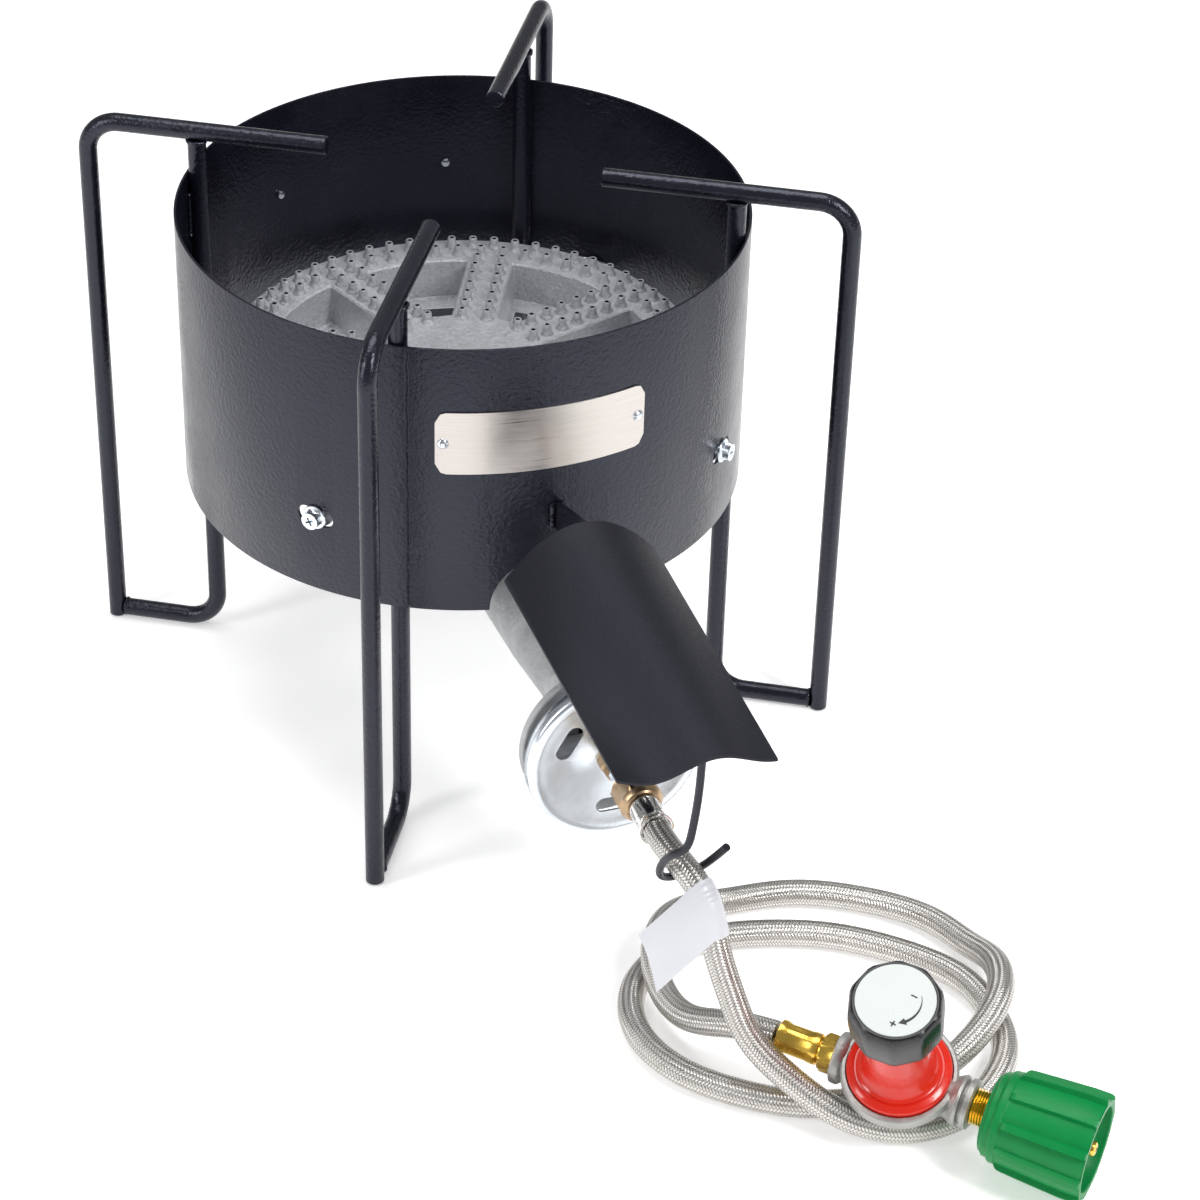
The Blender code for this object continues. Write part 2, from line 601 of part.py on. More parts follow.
def make_mixer_tube():
    """The casting from the bell, along the venturi, round its elbow and up to the burner's boss.
    A bridge across the bell holds the gas fitting."""
    outside = [
        (0, BELL_FACE), (BELL_RADIUS - 0.0005, BELL_FACE), (BELL_RADIUS, BELL_FACE - 0.0005),
        (BELL_RADIUS, 0.2400), (0.0290, 0.2395), (0.0150, 0.2375), (0.0140, 0.232), (0.0157, 0.210),
        (0.0181, 0.180), (0.0206, 0.150), (MIXER_WALL_RADIUS, 0.100), (MIXER_WALL_RADIUS, MIXER_ELBOW),
        (0, MIXER_ELBOW),
    ]
    inside = [
        (0, BELL_FACE + 0.003), (0.0415, BELL_FACE + 0.003), (0.0415, BELL_FACE - 0.0005),
        (0.0300, 0.2430), (0.0180, 0.2412), (0.0125, 0.2375), (0.0112, 0.2300), (0.0122, 0.200),
        (0.0160, 0.150), (MIXER_BORE, 0.100), (MIXER_BORE, MIXER_ELBOW), (0, MIXER_ELBOW),
    ]
    tube = place(turned("mixer_tube", outside, CASTING, 28), VENTURI)
    height = MIXER_TOP - VENTURI_Z
    cut(tube, elbow("elbow", MIXER_WALL_RADIUS + 0.001, height), "UNION")
    flange = prism("mixer_flange", [slot_outline(*EARS)], FLANGE_THICKNESS, CASTING, CUTTERS)
    place(flange, STAND, (0, 0, MIXER_TOP - FLANGE_THICKNESS))
    cut(tube, flange, "UNION")
    cut(tube, place(turned("bell_bore", inside, CASTING, 28, CUTTERS), VENTURI))
    cut(tube, elbow("elbow_bore", MIXER_BORE + 0.001, height + 0.004))
    bar = prism("bridge_bar", [rounded_box(0.086, 0.009, 0.002)], 0.0038, CASTING, CUTTERS)
    cut(tube, place(bar, VENTURI, (0, 0, 0.2412)), "UNION")
    boss = cylinder("bridge_boss", 0.0095, BRIDGE_FACE - 0.2410, 16)
    cut(tube, place(boss, VENTURI, (0, 0, (BRIDGE_FACE + 0.2410) / 2)), "UNION")
    hole = cylinder("stem_hole", STEM_RADIUS + GAP, 0.020, 16)
    cut(tube, place(hole, VENTURI, (0, 0, BRIDGE_FACE)))
    for i, side in enumerate((-1, 1)):
        clear = cylinder(f"flange_hole_{i}", EAR_SCREW_RADIUS + GAP, 0.020, 12)
        cut(tube, place(clear, STAND, (side * EAR_SCREW_X, 0, MIXER_TOP)))
        under = MIXER_TOP - FLANGE_THICKNESS - GAP
        profile = [
            (0, 0.0165, 0), (EAR_SCREW_RADIUS, 0.0160, 0), (EAR_SCREW_RADIUS, 0, 0), (0.0046, 0, 1),
            (0.0046, -0.0036, 1), (0, -0.0036, 1),
        ]
        screw = lathe(f"flange_screw_{i + 1}", profile, 12, ZINC, hexagonal)
        place(screw, STAND, (side * EAR_SCREW_X, 0, under))


SLOT_ANGLES = (-90, 30, 150)
SLOT_REACH = 0.0285


def make_air_shutter():
    """A pressed disc with a rolled rim and three tangential slots, and its lock nut."""
    face, rim, sheet = SHUTTER_FACE, SHUTTER_RADIUS, SHUTTER_SHEET
    hole = STEM_RADIUS + 0.0004
    profile = [
        (hole, face), (rim - 0.0030, face), (rim - 0.0009, face - 0.0009), (rim, face - 0.0030),
        (rim, face - 0.0080), (rim - sheet, face - 0.0080), (rim - sheet, face - 0.0034),
        (rim - 0.0034, face - sheet), (hole, face - sheet),
    ]
    disc = place(turned("air_shutter", profile, ZINC, 48), VENTURI)
    for i, angle in enumerate(SLOT_ANGLES):
        slot = prism(f"air_slot_{i}", [slot_outline(0.020, 0.0085)], 0.005, ZINC, CUTTERS)
        x, y, _ = radial(angle, SLOT_REACH, 0)
        cut(disc, place(slot, VENTURI, (x, y, face - 0.003), (0, 0, angle + 90)))
    nut = [(hole, 0.0060, 0), (0.0090, 0.0060, 0.6), (0.0103, 0.0053, 1), (0.0103, 0, 1), (hole, 0, 0)]
    place(lathe("shutter_lock_nut", nut, 12, BRASS, hexagonal), VENTURI, (0, 0, face + GAP))


# ---------------------------------------------------------------- gas fitting

JET_START = 0.2297
STEM_START = 0.2360
FITTING_HEX = 0.2720
FLARE_NUT_START = 0.2852
FLARE_NUT_END = 0.3017


def make_gas_fitting():
    """The jet in the mixer's throat, its threaded stem through the shutter, and the hose's end."""
    bore = 0.0025
    jet = [(0.0008, 0.0060, 0), (0.0056, 0.0060, 1), (0.0056, 0.0010, 1), (0.0030, 0, 0), (0.0008, 0, 0)]
    place(lathe("orifice_jet", jet, 12, BRASS, hexagonal), VENTURI, (0, 0, JET_START))
    stem = [
        (bore, 0.2912, 0), (0.0045, 0.2912, 0), (0.0057, 0.2895, 0), (0.0057, 0.2792, 0),
        (0.0083, 0.2790, 1), (0.0083, FITTING_HEX, 1), (STEM_RADIUS, FITTING_HEX - 0.0002, 0),
        (STEM_RADIUS, STEM_START, 0), (bore, STEM_START, 0),
    ]
    place(lathe("orifice_fitting", stem, 12, ZINC, hexagonal), VENTURI)
    inner = 0.0057 + GAP
    nut = [
        (0.0030, FLARE_NUT_END, 0), (0.0085, FLARE_NUT_END, 0), (0.0100, 0.2990, 0), (0.0120, 0.2975, 1),
        (0.0120, 0.2860, 1), (0.0112, FLARE_NUT_START, 0.4), (inner, FLARE_NUT_START, 0),
        (inner, 0.2916, 0), (0.0030, 0.2916, 0),
    ]
    place(lathe("flare_nut", nut, 12, BRASS, hexagonal), VENTURI)
    ferrule = [
        (0.0030, 0.3155), (0.0076, 0.3155), (0.0080, 0.3150), (0.0080, 0.3026), (0.0075, 0.3020),
        (0.0030, 0.3020),
    ]
    place(turned("hose_ferrule", ferrule, CHROME, 20), VENTURI)
    collar = [(0.0030, 0.3202), (0.0090, 0.3202), (0.0090, 0.3190), (0.0079, 0.3158), (0.0030, 0.3158)]
    place(turned("hose_collar", collar, BARE_BLACK, 20), VENTURI)


# ---------------------------------------------------------------- heat shield and hook

SHIELD_CROWN_X = 0.001
BRACKET_X = 0.003
BRACKET_SHEET = 0.003


def shield_height(x, along):
    """The shield's top at a distance from its middle, from its drum end (0) to its outer end (1)."""
    arch = SHIELD_EDGE_Z + SHIELD_RISE * max(0.0, 1 - ((x - SHIELD_CROWN_X) / 0.041) ** 2)
    wave = 0.1915 + 0.004 * math.sin(math.tau * (x + 0.006) / 0.062)
    return arch + (wave - arch) * along


def make_heat_shield():
    columns, rows = 16, 4
    grids = []
    for below in (0.0, SHIELD_SHEET):
        grid = []
        for i in range(rows + 1):
            along = i / rows
            y = -(SHIELD_START + (SHIELD_END - SHIELD_START) * along)
            line = []
            for j in range(columns + 1):
                x = SHIELD_HALF_WIDTH * (2 * j / columns - 1)
                line.append((x, y, shield_height(x, along) - below))
            grid.append(line)
        grids.append(grid)
    place(slab("heat_shield", *grids, BLACK_PAINT), STAND)
    drum_side = DRUM_RADIUS + GAP
    outline = [
        (drum_side, 0.187), (SHIELD_START, 0.197), (0.232, 0.205), (0.232, 0.2124),
        (SHIELD_START, 0.2174), (drum_side, 0.202),
    ]
    tab = prism("shield_bracket", [outline], BRACKET_SHEET, BLACK_PAINT)
    place(tab, STAND, (BRACKET_X + BRACKET_SHEET / 2, 0, 0), (90, 0, -90))
    place(rod("hose_hook", smooth_line(HOOK_ROUTE, 26), HOOK_RADIUS, BARE_BLACK, 2), STAND)


# ---------------------------------------------------------------- hose and its tag

TAG_SHEET = 0.00045
TAG_RADIUS = HOSE_RADIUS + 0.0012
TAG_FROM = 0.041
TAG_WIDTH = 0.025
TAG_FLAG = 0.034
TAG_OUT = (-0.945, 0.063, -0.317)
TAG_SKEW = 0.47


def make_hose():
    place(rod("hose", smooth_line(HOSE_ROUTE, HOSE_SAMPLES), HOSE_RADIUS, BRAID, 2), STAND)


def make_hose_tag():
    """A strip of film wrapped round the hose, whose two ends meet and stand out as a flag."""
    count = 600
    line = smooth_line(HOSE_ROUTE, count)
    step = sum((b - a).length for a, b in zip(line, line[1:])) / (count - 1)
    stations = 8
    picks = [round((TAG_FROM + TAG_WIDTH * i / stations) / step) for i in range(stations + 1)]
    middle = picks[stations // 2]
    along = (line[middle + 1] - line[middle - 1]).normalized()
    out = Vector(TAG_OUT)
    out = (out - along * out.dot(along)).normalized()
    flag = out + along * TAG_SKEW
    grids = []
    for reach in (TAG_RADIUS, TAG_RADIUS + TAG_SHEET):
        grid = []
        for pick in picks:
            ahead = (line[pick + 1] - line[pick - 1]).normalized()
            level = (out - ahead * out.dot(ahead)).normalized()
            across = ahead.cross(level)
            row = []
            for turn in range(-60, 271, 30):
                angle = math.radians(turn)
                row.append(line[pick] + (level * math.cos(angle) + across * math.sin(angle)) * reach)
            edge = row[-1]
            row += [edge + flag * TAG_FLAG * share for share in (0.25, 0.5, 0.75, 1.0)]
            grid.append(row)
        grids.append(grid)
    place(slab("hose_tag", *grids, WHITE_FILM), STAND)


# ---------------------------------------------------------------- regulator

FERRULE_END = -0.0628
OUTLET_BOSS = -0.033
INLET_BOSS = 0.038
BOSS_RADIUS = 0.013
CASE_RIM = 0.0285
CASE_TOP = 0.008
BONNET_BOTTOM = 0.0094
BONNET_TOP = 0.052
KNOB_BOTTOM = 0.054
KNOB_TOP = 0.078
KNOB_COUNT = 10
RIB_COUNT = 10
NIPPLE_RADIUS = 0.008
NUT_CAVITY = 0.062
NUT_MOUTH_RADIUS = 0.0215


def make_outlet():
    ferrule = [
        (0.0030, -0.0413), (0.0075, -0.0413), (0.0080, -0.0420), (0.0080, FERRULE_END + 0.0009),
        (0.0075, FERRULE_END + GAP), (0.0030, FERRULE_END + GAP),
    ]
    place(turned("regulator_ferrule", ferrule, BRASS, 18), REGULATOR, turn=TO_TANK)
    hexed = [
        (0.0030, -0.0250, 0), (0.0058, -0.0250, 0), (0.0060, -0.0332, 0), (0.0098, -0.0334, 1),
        (0.0098, -0.0410, 1), (0.0030, -0.0410, 0),
    ]
    place(lathe("outlet_fitting", hexed, 12, BRASS, hexagonal), REGULATOR, turn=TO_TANK)


def make_regulator_body():
    """A cast case with an inlet and an outlet boss, open on top for the diaphragm."""
    profile = [
        (0, CASE_TOP), (CASE_RIM, CASE_TOP), (CASE_RIM, 0.003), (0.027, 0.002), (0.022, -0.003),
        (0.014, -0.010), (0.007, -0.0125), (0, -0.0125),
    ]
    case = place(turned("regulator_body", profile, DIE_CAST, 32), REGULATOR)
    length = INLET_BOSS - OUTLET_BOSS
    middle = (INLET_BOSS + OUTLET_BOSS) / 2
    bosses = place(cylinder("bosses", BOSS_RADIUS, length, 20), REGULATOR, (middle, 0, 0), TO_TANK)
    cut(case, bosses, "UNION")
    seat = 0.0256
    chamber = [
        (0, 0.016), (seat, 0.016), (seat, CASE_TOP - 0.0002), (0.0225, CASE_TOP - 0.0002),
        (0.0225, 0.004), (0.0150, -0.004), (0, -0.004),
    ]
    cut(case, place(turned("chamber", chamber, DIE_CAST, 24, CUTTERS), REGULATOR))
    inlet = cylinder("inlet_way", 0.0060 + GAP, 0.030, 16)
    cut(case, place(inlet, REGULATOR, (INLET_BOSS - 0.005, 0, 0), TO_TANK))
    outlet = cylinder("outlet_way", 0.0060 + GAP, 0.026, 16)
    cut(case, place(outlet, REGULATOR, (OUTLET_BOSS + 0.003, 0, 0), TO_TANK))


def make_bonnet():
    """The hollow bonnet over the spring, the sheet diaphragm under it and the pieces they drive."""
    outside = [
        (0.0045, BONNET_TOP), (0.0155, BONNET_TOP), (0.0160, 0.0510), (0.0160, 0.030), (0.0168, 0.024),
        (0.0188, 0.018), (0.0218, 0.014), (0.0250, 0.0118), (0.0250, BONNET_BOTTOM),
    ]
    inside = [(0.0215, BONNET_BOTTOM), (0.0180, 0.0120), (0.0125, 0.021), (0.0125, 0.048), (0.0045, 0.048)]
    place(turned("bonnet", outside + inside, RED_PLASTIC, 28), REGULATOR)
    sheet = [(0.0026, 0.0091), (0.0250, 0.0091), (0.0250, 0.0083), (0.0026, 0.0083)]
    place(turned("diaphragm", sheet, RUBBER, 24), REGULATOR)
    plate = [
        (0, 0.0130), (0.0036, 0.0130), (0.0040, 0.0105), (0.0120, 0.0105), (0.0120, 0.0094),
        (0.0022, 0.0094), (0.0022, 0.0055), (0, 0.0055),
    ]
    place(turned("diaphragm_plate", plate, ZINC, 16), REGULATOR)
    poppet = [(0, 0.0051), (0.0020, 0.0051), (0.0020, 0.0010), (0.0050, 0.0005), (0.0050, -0.0025), (0, -0.0025)]
    place(turned("valve_poppet", poppet, BRASS, 12), REGULATOR)
    button = [(0, 0.0297), (0.0105, 0.0297), (0.0110, 0.0290), (0.0110, 0.0278), (0.0040, 0.0278),
              (0.0036, 0.0255), (0, 0.0255)]
    place(turned("spring_button", button, ZINC, 16), REGULATOR)
    turns, per_turn, low, high = 4, 10, 0.0122, 0.0262
    helix = []
    for i in range(turns * per_turn + 1):
        x, y, _ = radial(360 * i / per_turn, 0.0075, 0)
        helix.append((x, y, low + (high - low) * i / (turns * per_turn)))
    place(rod("regulator_spring", helix, 0.0010, STEEL, 0), REGULATOR)


def scalloped(angle):
    """Ten shallow finger scallops round the knob."""
    return 1 - 0.035 * (1 - math.cos(math.radians(angle * KNOB_COUNT))) / 2


def make_knob():
    """The knob, its printed disc and the screw it turns against the spring."""
    profile = [
        (0, KNOB_TOP, 0), (0.0198, KNOB_TOP, 0), (0.0206, KNOB_TOP - 0.0010, 1), (0.0218, 0.066, 1),
        (0.0230, 0.0560, 1), (0.0226, KNOB_BOTTOM, 1), (0.0044, KNOB_BOTTOM, 0), (0.0044, 0.068, 0),
        (0, 0.068, 0),
    ]
    place(lathe("adjusting_knob", profile, 40, BLACK_PLASTIC, scalloped), REGULATOR)
    disc = [(0, KNOB_TOP + 0.0007), (0.0190, KNOB_TOP + 0.0007), (0.0190, KNOB_TOP + GAP), (0, KNOB_TOP + GAP)]
    place(turned("knob_disc", disc, WHITE_FILM, 28), REGULATOR)
    screw = [(0, 0.0676), (0.0040, 0.0676), (0.0040, 0.0301), (0, 0.0301)]
    place(turned("adjusting_screw", screw, STEEL, 12), REGULATOR)


def ribbed(angle):
    """Ten grip ribs, each about a third of the way to the next one."""
    place_in_rib = angle * RIB_COUNT / 360 % 1
    return 1.06 if place_in_rib < 0.3 else 1.0


def make_tank_connector():
    """The nipple and probe from the body, and the handwheel nut that turns on them."""
    nipple = [
        (0.0030, 0.0640), (0.0110, 0.0640), (0.0118, 0.0632), (0.0118, NUT_CAVITY + GAP),
        (NIPPLE_RADIUS, NUT_CAVITY + GAP), (NIPPLE_RADIUS, 0.0462), (0.0090, 0.0458),
        (0.0090, INLET_BOSS + GAP), (0.0060, INLET_BOSS + GAP), (0.0058, 0.0270), (0.0030, 0.0270),
    ]
    place(turned("inlet_nipple", nipple, BRASS, 18), REGULATOR, turn=TO_TANK)
    probe = [
        (0.0012, 0.0950), (0.0030, 0.0950), (0.0038, 0.0935), (0.0038, 0.0790), (0.0070, 0.0740),
        (0.0070, 0.0643), (0.0012, 0.0643),
    ]
    place(turned("inlet_probe", probe, BRASS, 14), REGULATOR, turn=TO_TANK)
    seal = [(0.0041, 0.0890), (0.0050, 0.0890), (0.0054, 0.0883), (0.0054, 0.0867), (0.0050, 0.0860),
            (0.0041, 0.0860)]
    place(turned("probe_seal", seal, RUBBER, 14), REGULATOR, turn=TO_TANK)
    hole = NIPPLE_RADIUS + 0.0004
    profile = [
        (NUT_MOUTH_RADIUS, NUT_END, 0), (0.0262, NUT_END, 0), (NUT_RADIUS - 0.0016, 0.0985, 1),
        (NUT_RADIUS - 0.0016, 0.0800, 1), (0.0245, 0.0570, 1), (0.0228, 0.0552, 0),
        (0.0225, 0.0510, 0), (0.0200, 0.0505, 0), (0.0196, NUT_START + 0.0004, 0),
        (hole, NUT_START + 0.0004, 0), (hole, NUT_CAVITY, 0), (NUT_MOUTH_RADIUS, NUT_CAVITY, 0),
    ]
    place(lathe("handwheel_nut", profile, 40, GREEN_PLASTIC, ribbed), REGULATOR, turn=TO_TANK)


make_windscreen()
for name, middle in PLATE_MIDDLES.items():
    curved_plate(name, middle, STEEL)
for side, angle in LEG_ANGLES.items():
    make_leg(side, angle)
make_burner_head()
make_mixer_tube()
make_air_shutter()
make_gas_fitting()
make_heat_shield()
make_hose()
make_hose_tag()
make_outlet()
make_regulator_body()
make_bonnet()
make_knob()
make_tank_connector()
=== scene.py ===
"""Looks of the propane burner stand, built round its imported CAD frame. Metres, +Z up."""

import math

import bmesh
import bpy
import numpy as np
from mathutils import Matrix, Vector, noise


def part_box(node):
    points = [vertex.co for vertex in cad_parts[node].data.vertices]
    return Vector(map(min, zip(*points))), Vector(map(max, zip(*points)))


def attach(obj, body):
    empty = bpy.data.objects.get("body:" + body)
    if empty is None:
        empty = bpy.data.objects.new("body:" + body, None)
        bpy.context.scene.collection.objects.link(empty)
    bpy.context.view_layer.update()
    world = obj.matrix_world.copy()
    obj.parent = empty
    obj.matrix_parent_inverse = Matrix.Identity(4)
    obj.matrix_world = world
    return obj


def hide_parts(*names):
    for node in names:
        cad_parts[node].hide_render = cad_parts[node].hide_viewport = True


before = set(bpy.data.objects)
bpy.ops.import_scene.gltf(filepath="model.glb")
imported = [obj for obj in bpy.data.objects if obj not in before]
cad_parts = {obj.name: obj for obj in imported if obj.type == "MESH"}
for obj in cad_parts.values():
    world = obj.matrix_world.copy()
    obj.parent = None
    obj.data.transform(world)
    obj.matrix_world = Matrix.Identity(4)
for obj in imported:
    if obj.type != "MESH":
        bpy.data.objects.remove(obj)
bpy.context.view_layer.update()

# ------------------------------------------------------------------ places and sizes

DRUM_LOW, DRUM_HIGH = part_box("windscreen")
DRUM_Y = (DRUM_LOW.y + DRUM_HIGH.y) / 2
DRUM_RADIUS = (DRUM_HIGH.x - DRUM_LOW.x) / 2
DRUM_WALL = 0.0015
DRUM_BOTTOM = DRUM_LOW.z
DRUM_TOP = DRUM_HIGH.z
NOTCH_RADIUS = 0.0315
ROD_RADIUS = 0.005
LEG_TIP = 0.074
LEG_OUTER = 0.2063
LEG_INNER = DRUM_RADIUS - DRUM_WALL - ROD_RADIUS - 0.0004
LEG_BEND = 0.018
POT_BAR_Z = 0.320
LEG_ANGLES = {"front": -120, "right": -30, "back": 60, "left": 150}
BURNER_RADIUS = 0.132
BURNER_TOP = 0.2012
BURNER_BOTTOM = 0.1732
BURNER_HUB = 0.0455
SPOKE_COUNT = 8
SPOKE_TURN = 19.85
SPOKE_HALF = 0.012
POCKET_OUTER = 0.1085
WINDOW_OUTER = 0.095
POCKET_FLOOR = 0.1777
SCREW_Z = 0.184
SCREW_ANGLES = (-137, -43, 43, 137)
VENTURI_Z = 0.117
PLATE_Z = 0.2415
PLATE_LENGTH = 0.112
PLATE_HEIGHT = 0.036
RIVET_SPREAD = 19.55
HOSE_RADIUS = 0.007
SHIELD_START = 0.200
SHIELD_END = 0.370
SHIELD_HALF_WIDTH = 0.040

STAND = Matrix.Translation((0, DRUM_Y, 0))
VENTURI = STAND @ Matrix.Translation((0, 0, VENTURI_Z)) @ Matrix.Rotation(math.radians(90), 4, "X")
REGULATOR = (
    STAND @ Matrix.Translation((0.086, -0.436, 0.032))
    @ Matrix.Rotation(math.radians(-44.0), 4, "Z")
    @ Matrix.Rotation(math.radians(2.35), 4, "Y")
    @ Matrix.Rotation(math.radians(21.0), 4, "X")
)
TO_TANK = REGULATOR @ Matrix.Rotation(math.radians(90), 4, "Y")


def about(angle, radius, height):
    """A frame at an angle and a distance from the drum's axis, its own +Z outwards."""
    around = STAND @ Matrix.Rotation(math.radians(angle), 4, "Z")
    return around @ Matrix.Translation((radius, 0, height)) @ Matrix.Rotation(math.radians(90), 4, "Y")


# ------------------------------------------------------------------ camera and light

CAMERA_FROM = Vector((-0.4799, -1.5613, 1.1702))
CAMERA_RIGHT = Vector((0.94077, -0.33907, 0.0))
CAMERA_UP = Vector((0.19268, 0.53462, 0.82284))
CAMERA_ROLL = math.radians(1.67)
CAMERA_LENS = 104.58
WORLD_LIGHT = 0.31
FLOOR_GLOW = 0.42


def make_camera():
    data = bpy.data.cameras.new("camera")
    data.lens = CAMERA_LENS
    data.sensor_width = 36
    camera = bpy.data.objects.new("camera", data)
    bpy.context.scene.collection.objects.link(camera)
    right = CAMERA_RIGHT * math.cos(CAMERA_ROLL) + CAMERA_UP * math.sin(CAMERA_ROLL)
    up = CAMERA_UP * math.cos(CAMERA_ROLL) - CAMERA_RIGHT * math.sin(CAMERA_ROLL)
    back = right.cross(up)
    turn = Matrix((right, up, back)).transposed().to_4x4()
    camera.matrix_world = Matrix.Translation(CAMERA_FROM + Vector((0, DRUM_Y, 0))) @ turn
    bpy.context.scene.camera = camera


def area_light(name, place, target, size, power):
    data = bpy.data.lights.new(name, "AREA")
    data.shape = "RECTANGLE"
    data.size, data.size_y = size
    data.energy = power
    lamp = bpy.data.objects.new(name, data)
    bpy.context.scene.collection.objects.link(lamp)
    lamp.location = place
    lamp.rotation_euler = (Vector(target) - Vector(place)).to_track_quat("-Z", "Y").to_euler()


def make_light():
    world = bpy.data.worlds.new("studio")
    world.use_nodes = True
    sky = world.node_tree.nodes["Background"]
    sky.inputs["Color"].default_value = (1.0, 1.0, 1.0, 1.0)
    sky.inputs["Strength"].default_value = WORLD_LIGHT
    bpy.context.scene.world = world
    middle = (0, -0.05, 0.2)
    area_light("key", (0.75, -1.3, 1.5), middle, (0.35, 0.9), 23)
    area_light("left_box", (-1.7, -0.3, 1.0), middle, (0.4, 1.2), 12)
    area_light("top_box", (0.0, 0.3, 2.2), middle, (1.6, 1.2), 26)
    scene = bpy.context.scene
    scene.view_settings.view_transform = "Standard"
    scene.view_settings.look = "None"


def make_floor(material):
    bm = bmesh.new()
    bmesh.ops.create_grid(bm, x_segments=1, y_segments=1, size=6)
    mesh = bpy.data.meshes.new("floor")
    bm.to_mesh(mesh)
    bm.free()
    mesh.materials.append(material)
    floor = bpy.data.objects.new("floor", mesh)
    bpy.context.scene.collection.objects.link(floor)
    floor.location.z = -0.0006


# ------------------------------------------------------------------ materials

def node(tree, kind, **values):
    made = tree.nodes.new(kind)
    for key, value in values.items():
        if key in made.inputs:
            made.inputs[key].default_value = value
        else:
            setattr(made, key, value)
    return made


def surface(name, colour, roughness, metallic=0.0, bumps=(), vary=0.10, vary_scale=35.0,
            rough_vary=0.08, stretch=(1, 1, 1), coat=0.0, specular=0.5):
    """A Principled surface whose colour, roughness and normal vary with noise over the object."""
    made = bpy.data.materials.new(name)
    made.use_nodes = True
    tree = made.node_tree
    shader = tree.nodes["Principled BSDF"]
    link = tree.links.new
    place = node(tree, "ShaderNodeTexCoord")
    scale = node(tree, "ShaderNodeMapping")
    scale.inputs["Scale"].default_value = stretch
    link(place.outputs["Object"], scale.inputs["Vector"])
    cloud = node(tree, "ShaderNodeTexNoise", Scale=vary_scale, Detail=6.0, Roughness=0.6)
    link(scale.outputs["Vector"], cloud.inputs["Vector"])
    shade = node(tree, "ShaderNodeMapRange")
    shade.inputs["From Min"].default_value = 0.3
    shade.inputs["From Max"].default_value = 0.7
    shade.inputs["To Min"].default_value = 1 - vary
    shade.inputs["To Max"].default_value = 1 + vary
    link(cloud.outputs["Fac"], shade.inputs["Value"])
    tint = node(tree, "ShaderNodeVectorMath", operation="SCALE")
    tint.inputs[0].default_value = colour
    link(shade.outputs["Result"], tint.inputs["Scale"])
    link(tint.outputs["Vector"], shader.inputs["Base Color"])
    gloss = node(tree, "ShaderNodeMapRange")
    gloss.inputs["From Min"].default_value = 0.3
    gloss.inputs["From Max"].default_value = 0.7
    gloss.inputs["To Min"].default_value = max(0.03, roughness - rough_vary)
    gloss.inputs["To Max"].default_value = roughness + rough_vary
    link(cloud.outputs["Fac"], gloss.inputs["Value"])
    link(gloss.outputs["Result"], shader.inputs["Roughness"])
    shader.inputs["Metallic"].default_value = metallic
    shader.inputs["Specular IOR Level"].default_value = specular
    shader.inputs["Coat Weight"].default_value = coat
    shader.inputs["Coat Roughness"].default_value = 0.08
    last = None
    for size, depth, detail in bumps:
        grain = node(tree, "ShaderNodeTexNoise", Scale=size, Detail=detail, Roughness=0.55)
        link(scale.outputs["Vector"], grain.inputs["Vector"])
        bump = node(tree, "ShaderNodeBump", Strength=1.0, Distance=depth)
        link(grain.outputs["Fac"], bump.inputs["Height"])
        if last:
            link(last.outputs["Normal"], bump.inputs["Normal"])
        last = bump
    if last:
        link(last.outputs["Normal"], shader.inputs["Normal"])
    return made


def braid_surface():
    """Woven wire. The two UV numbers count strands of each lay, so whole parts give the crossing."""
    made = bpy.data.materials.new("steel_braid_look")
    made.use_nodes = True
    tree = made.node_tree
    shader = tree.nodes["Principled BSDF"]
    link = tree.links.new
    uv = node(tree, "ShaderNodeUVMap", uv_map="lays")
    split = node(tree, "ShaderNodeSeparateXYZ")
    link(uv.outputs["UV"], split.inputs["Vector"])

    def calc(operation, first, second=None):
        made_node = node(tree, "ShaderNodeMath", operation=operation)
        for socket, value in zip(made_node.inputs, (first, second)):
            if value is None:
                continue
            if isinstance(value, (int, float)):
                socket.default_value = value
            else:
                link(value, socket)
        return made_node.outputs[0]

    a, b = split.outputs["X"], split.outputs["Y"]
    whole = calc("ADD", calc("FLOOR", a), calc("FLOOR", b))
    pick = calc("FRACT", calc("ADD", calc("MULTIPLY", whole, 0.25), 0.01))
    under = calc("GREATER_THAN", pick, 0.45)
    over = calc("SUBTRACT", 1.0, under)
    lay = calc("ADD", calc("MULTIPLY", a, over), calc("MULTIPLY", b, under))
    wire = calc("PINGPONG", calc("MULTIPLY", lay, 5.0), 0.5)
    bump = node(tree, "ShaderNodeBump", Strength=0.9, Distance=0.00012)
    link(wire, bump.inputs["Height"])
    link(bump.outputs["Normal"], shader.inputs["Normal"])
    # The colour runs from near black where the wire lies low to light on the tops: painted shade between and
    # under the strands.
    lift = node(tree, "ShaderNodeAttribute", attribute_name="lift")
    painted_shade_ramp = node(tree, "ShaderNodeValToRGB")
    painted_shade_ramp.color_ramp.elements[0].position = 0.18
    painted_shade_ramp.color_ramp.elements[0].color = (0.035, 0.03, 0.026, 1)
    painted_shade_ramp.color_ramp.elements[1].position = 0.72
    painted_shade_ramp.color_ramp.elements[1].color = (0.74, 0.715, 0.68, 1)
    link(lift.outputs["Fac"], painted_shade_ramp.inputs["Fac"])
    link(painted_shade_ramp.outputs["Color"], shader.inputs["Base Color"])
    shader.inputs["Metallic"].default_value = 0.95
    shader.inputs["Roughness"].default_value = 0.30
    return made


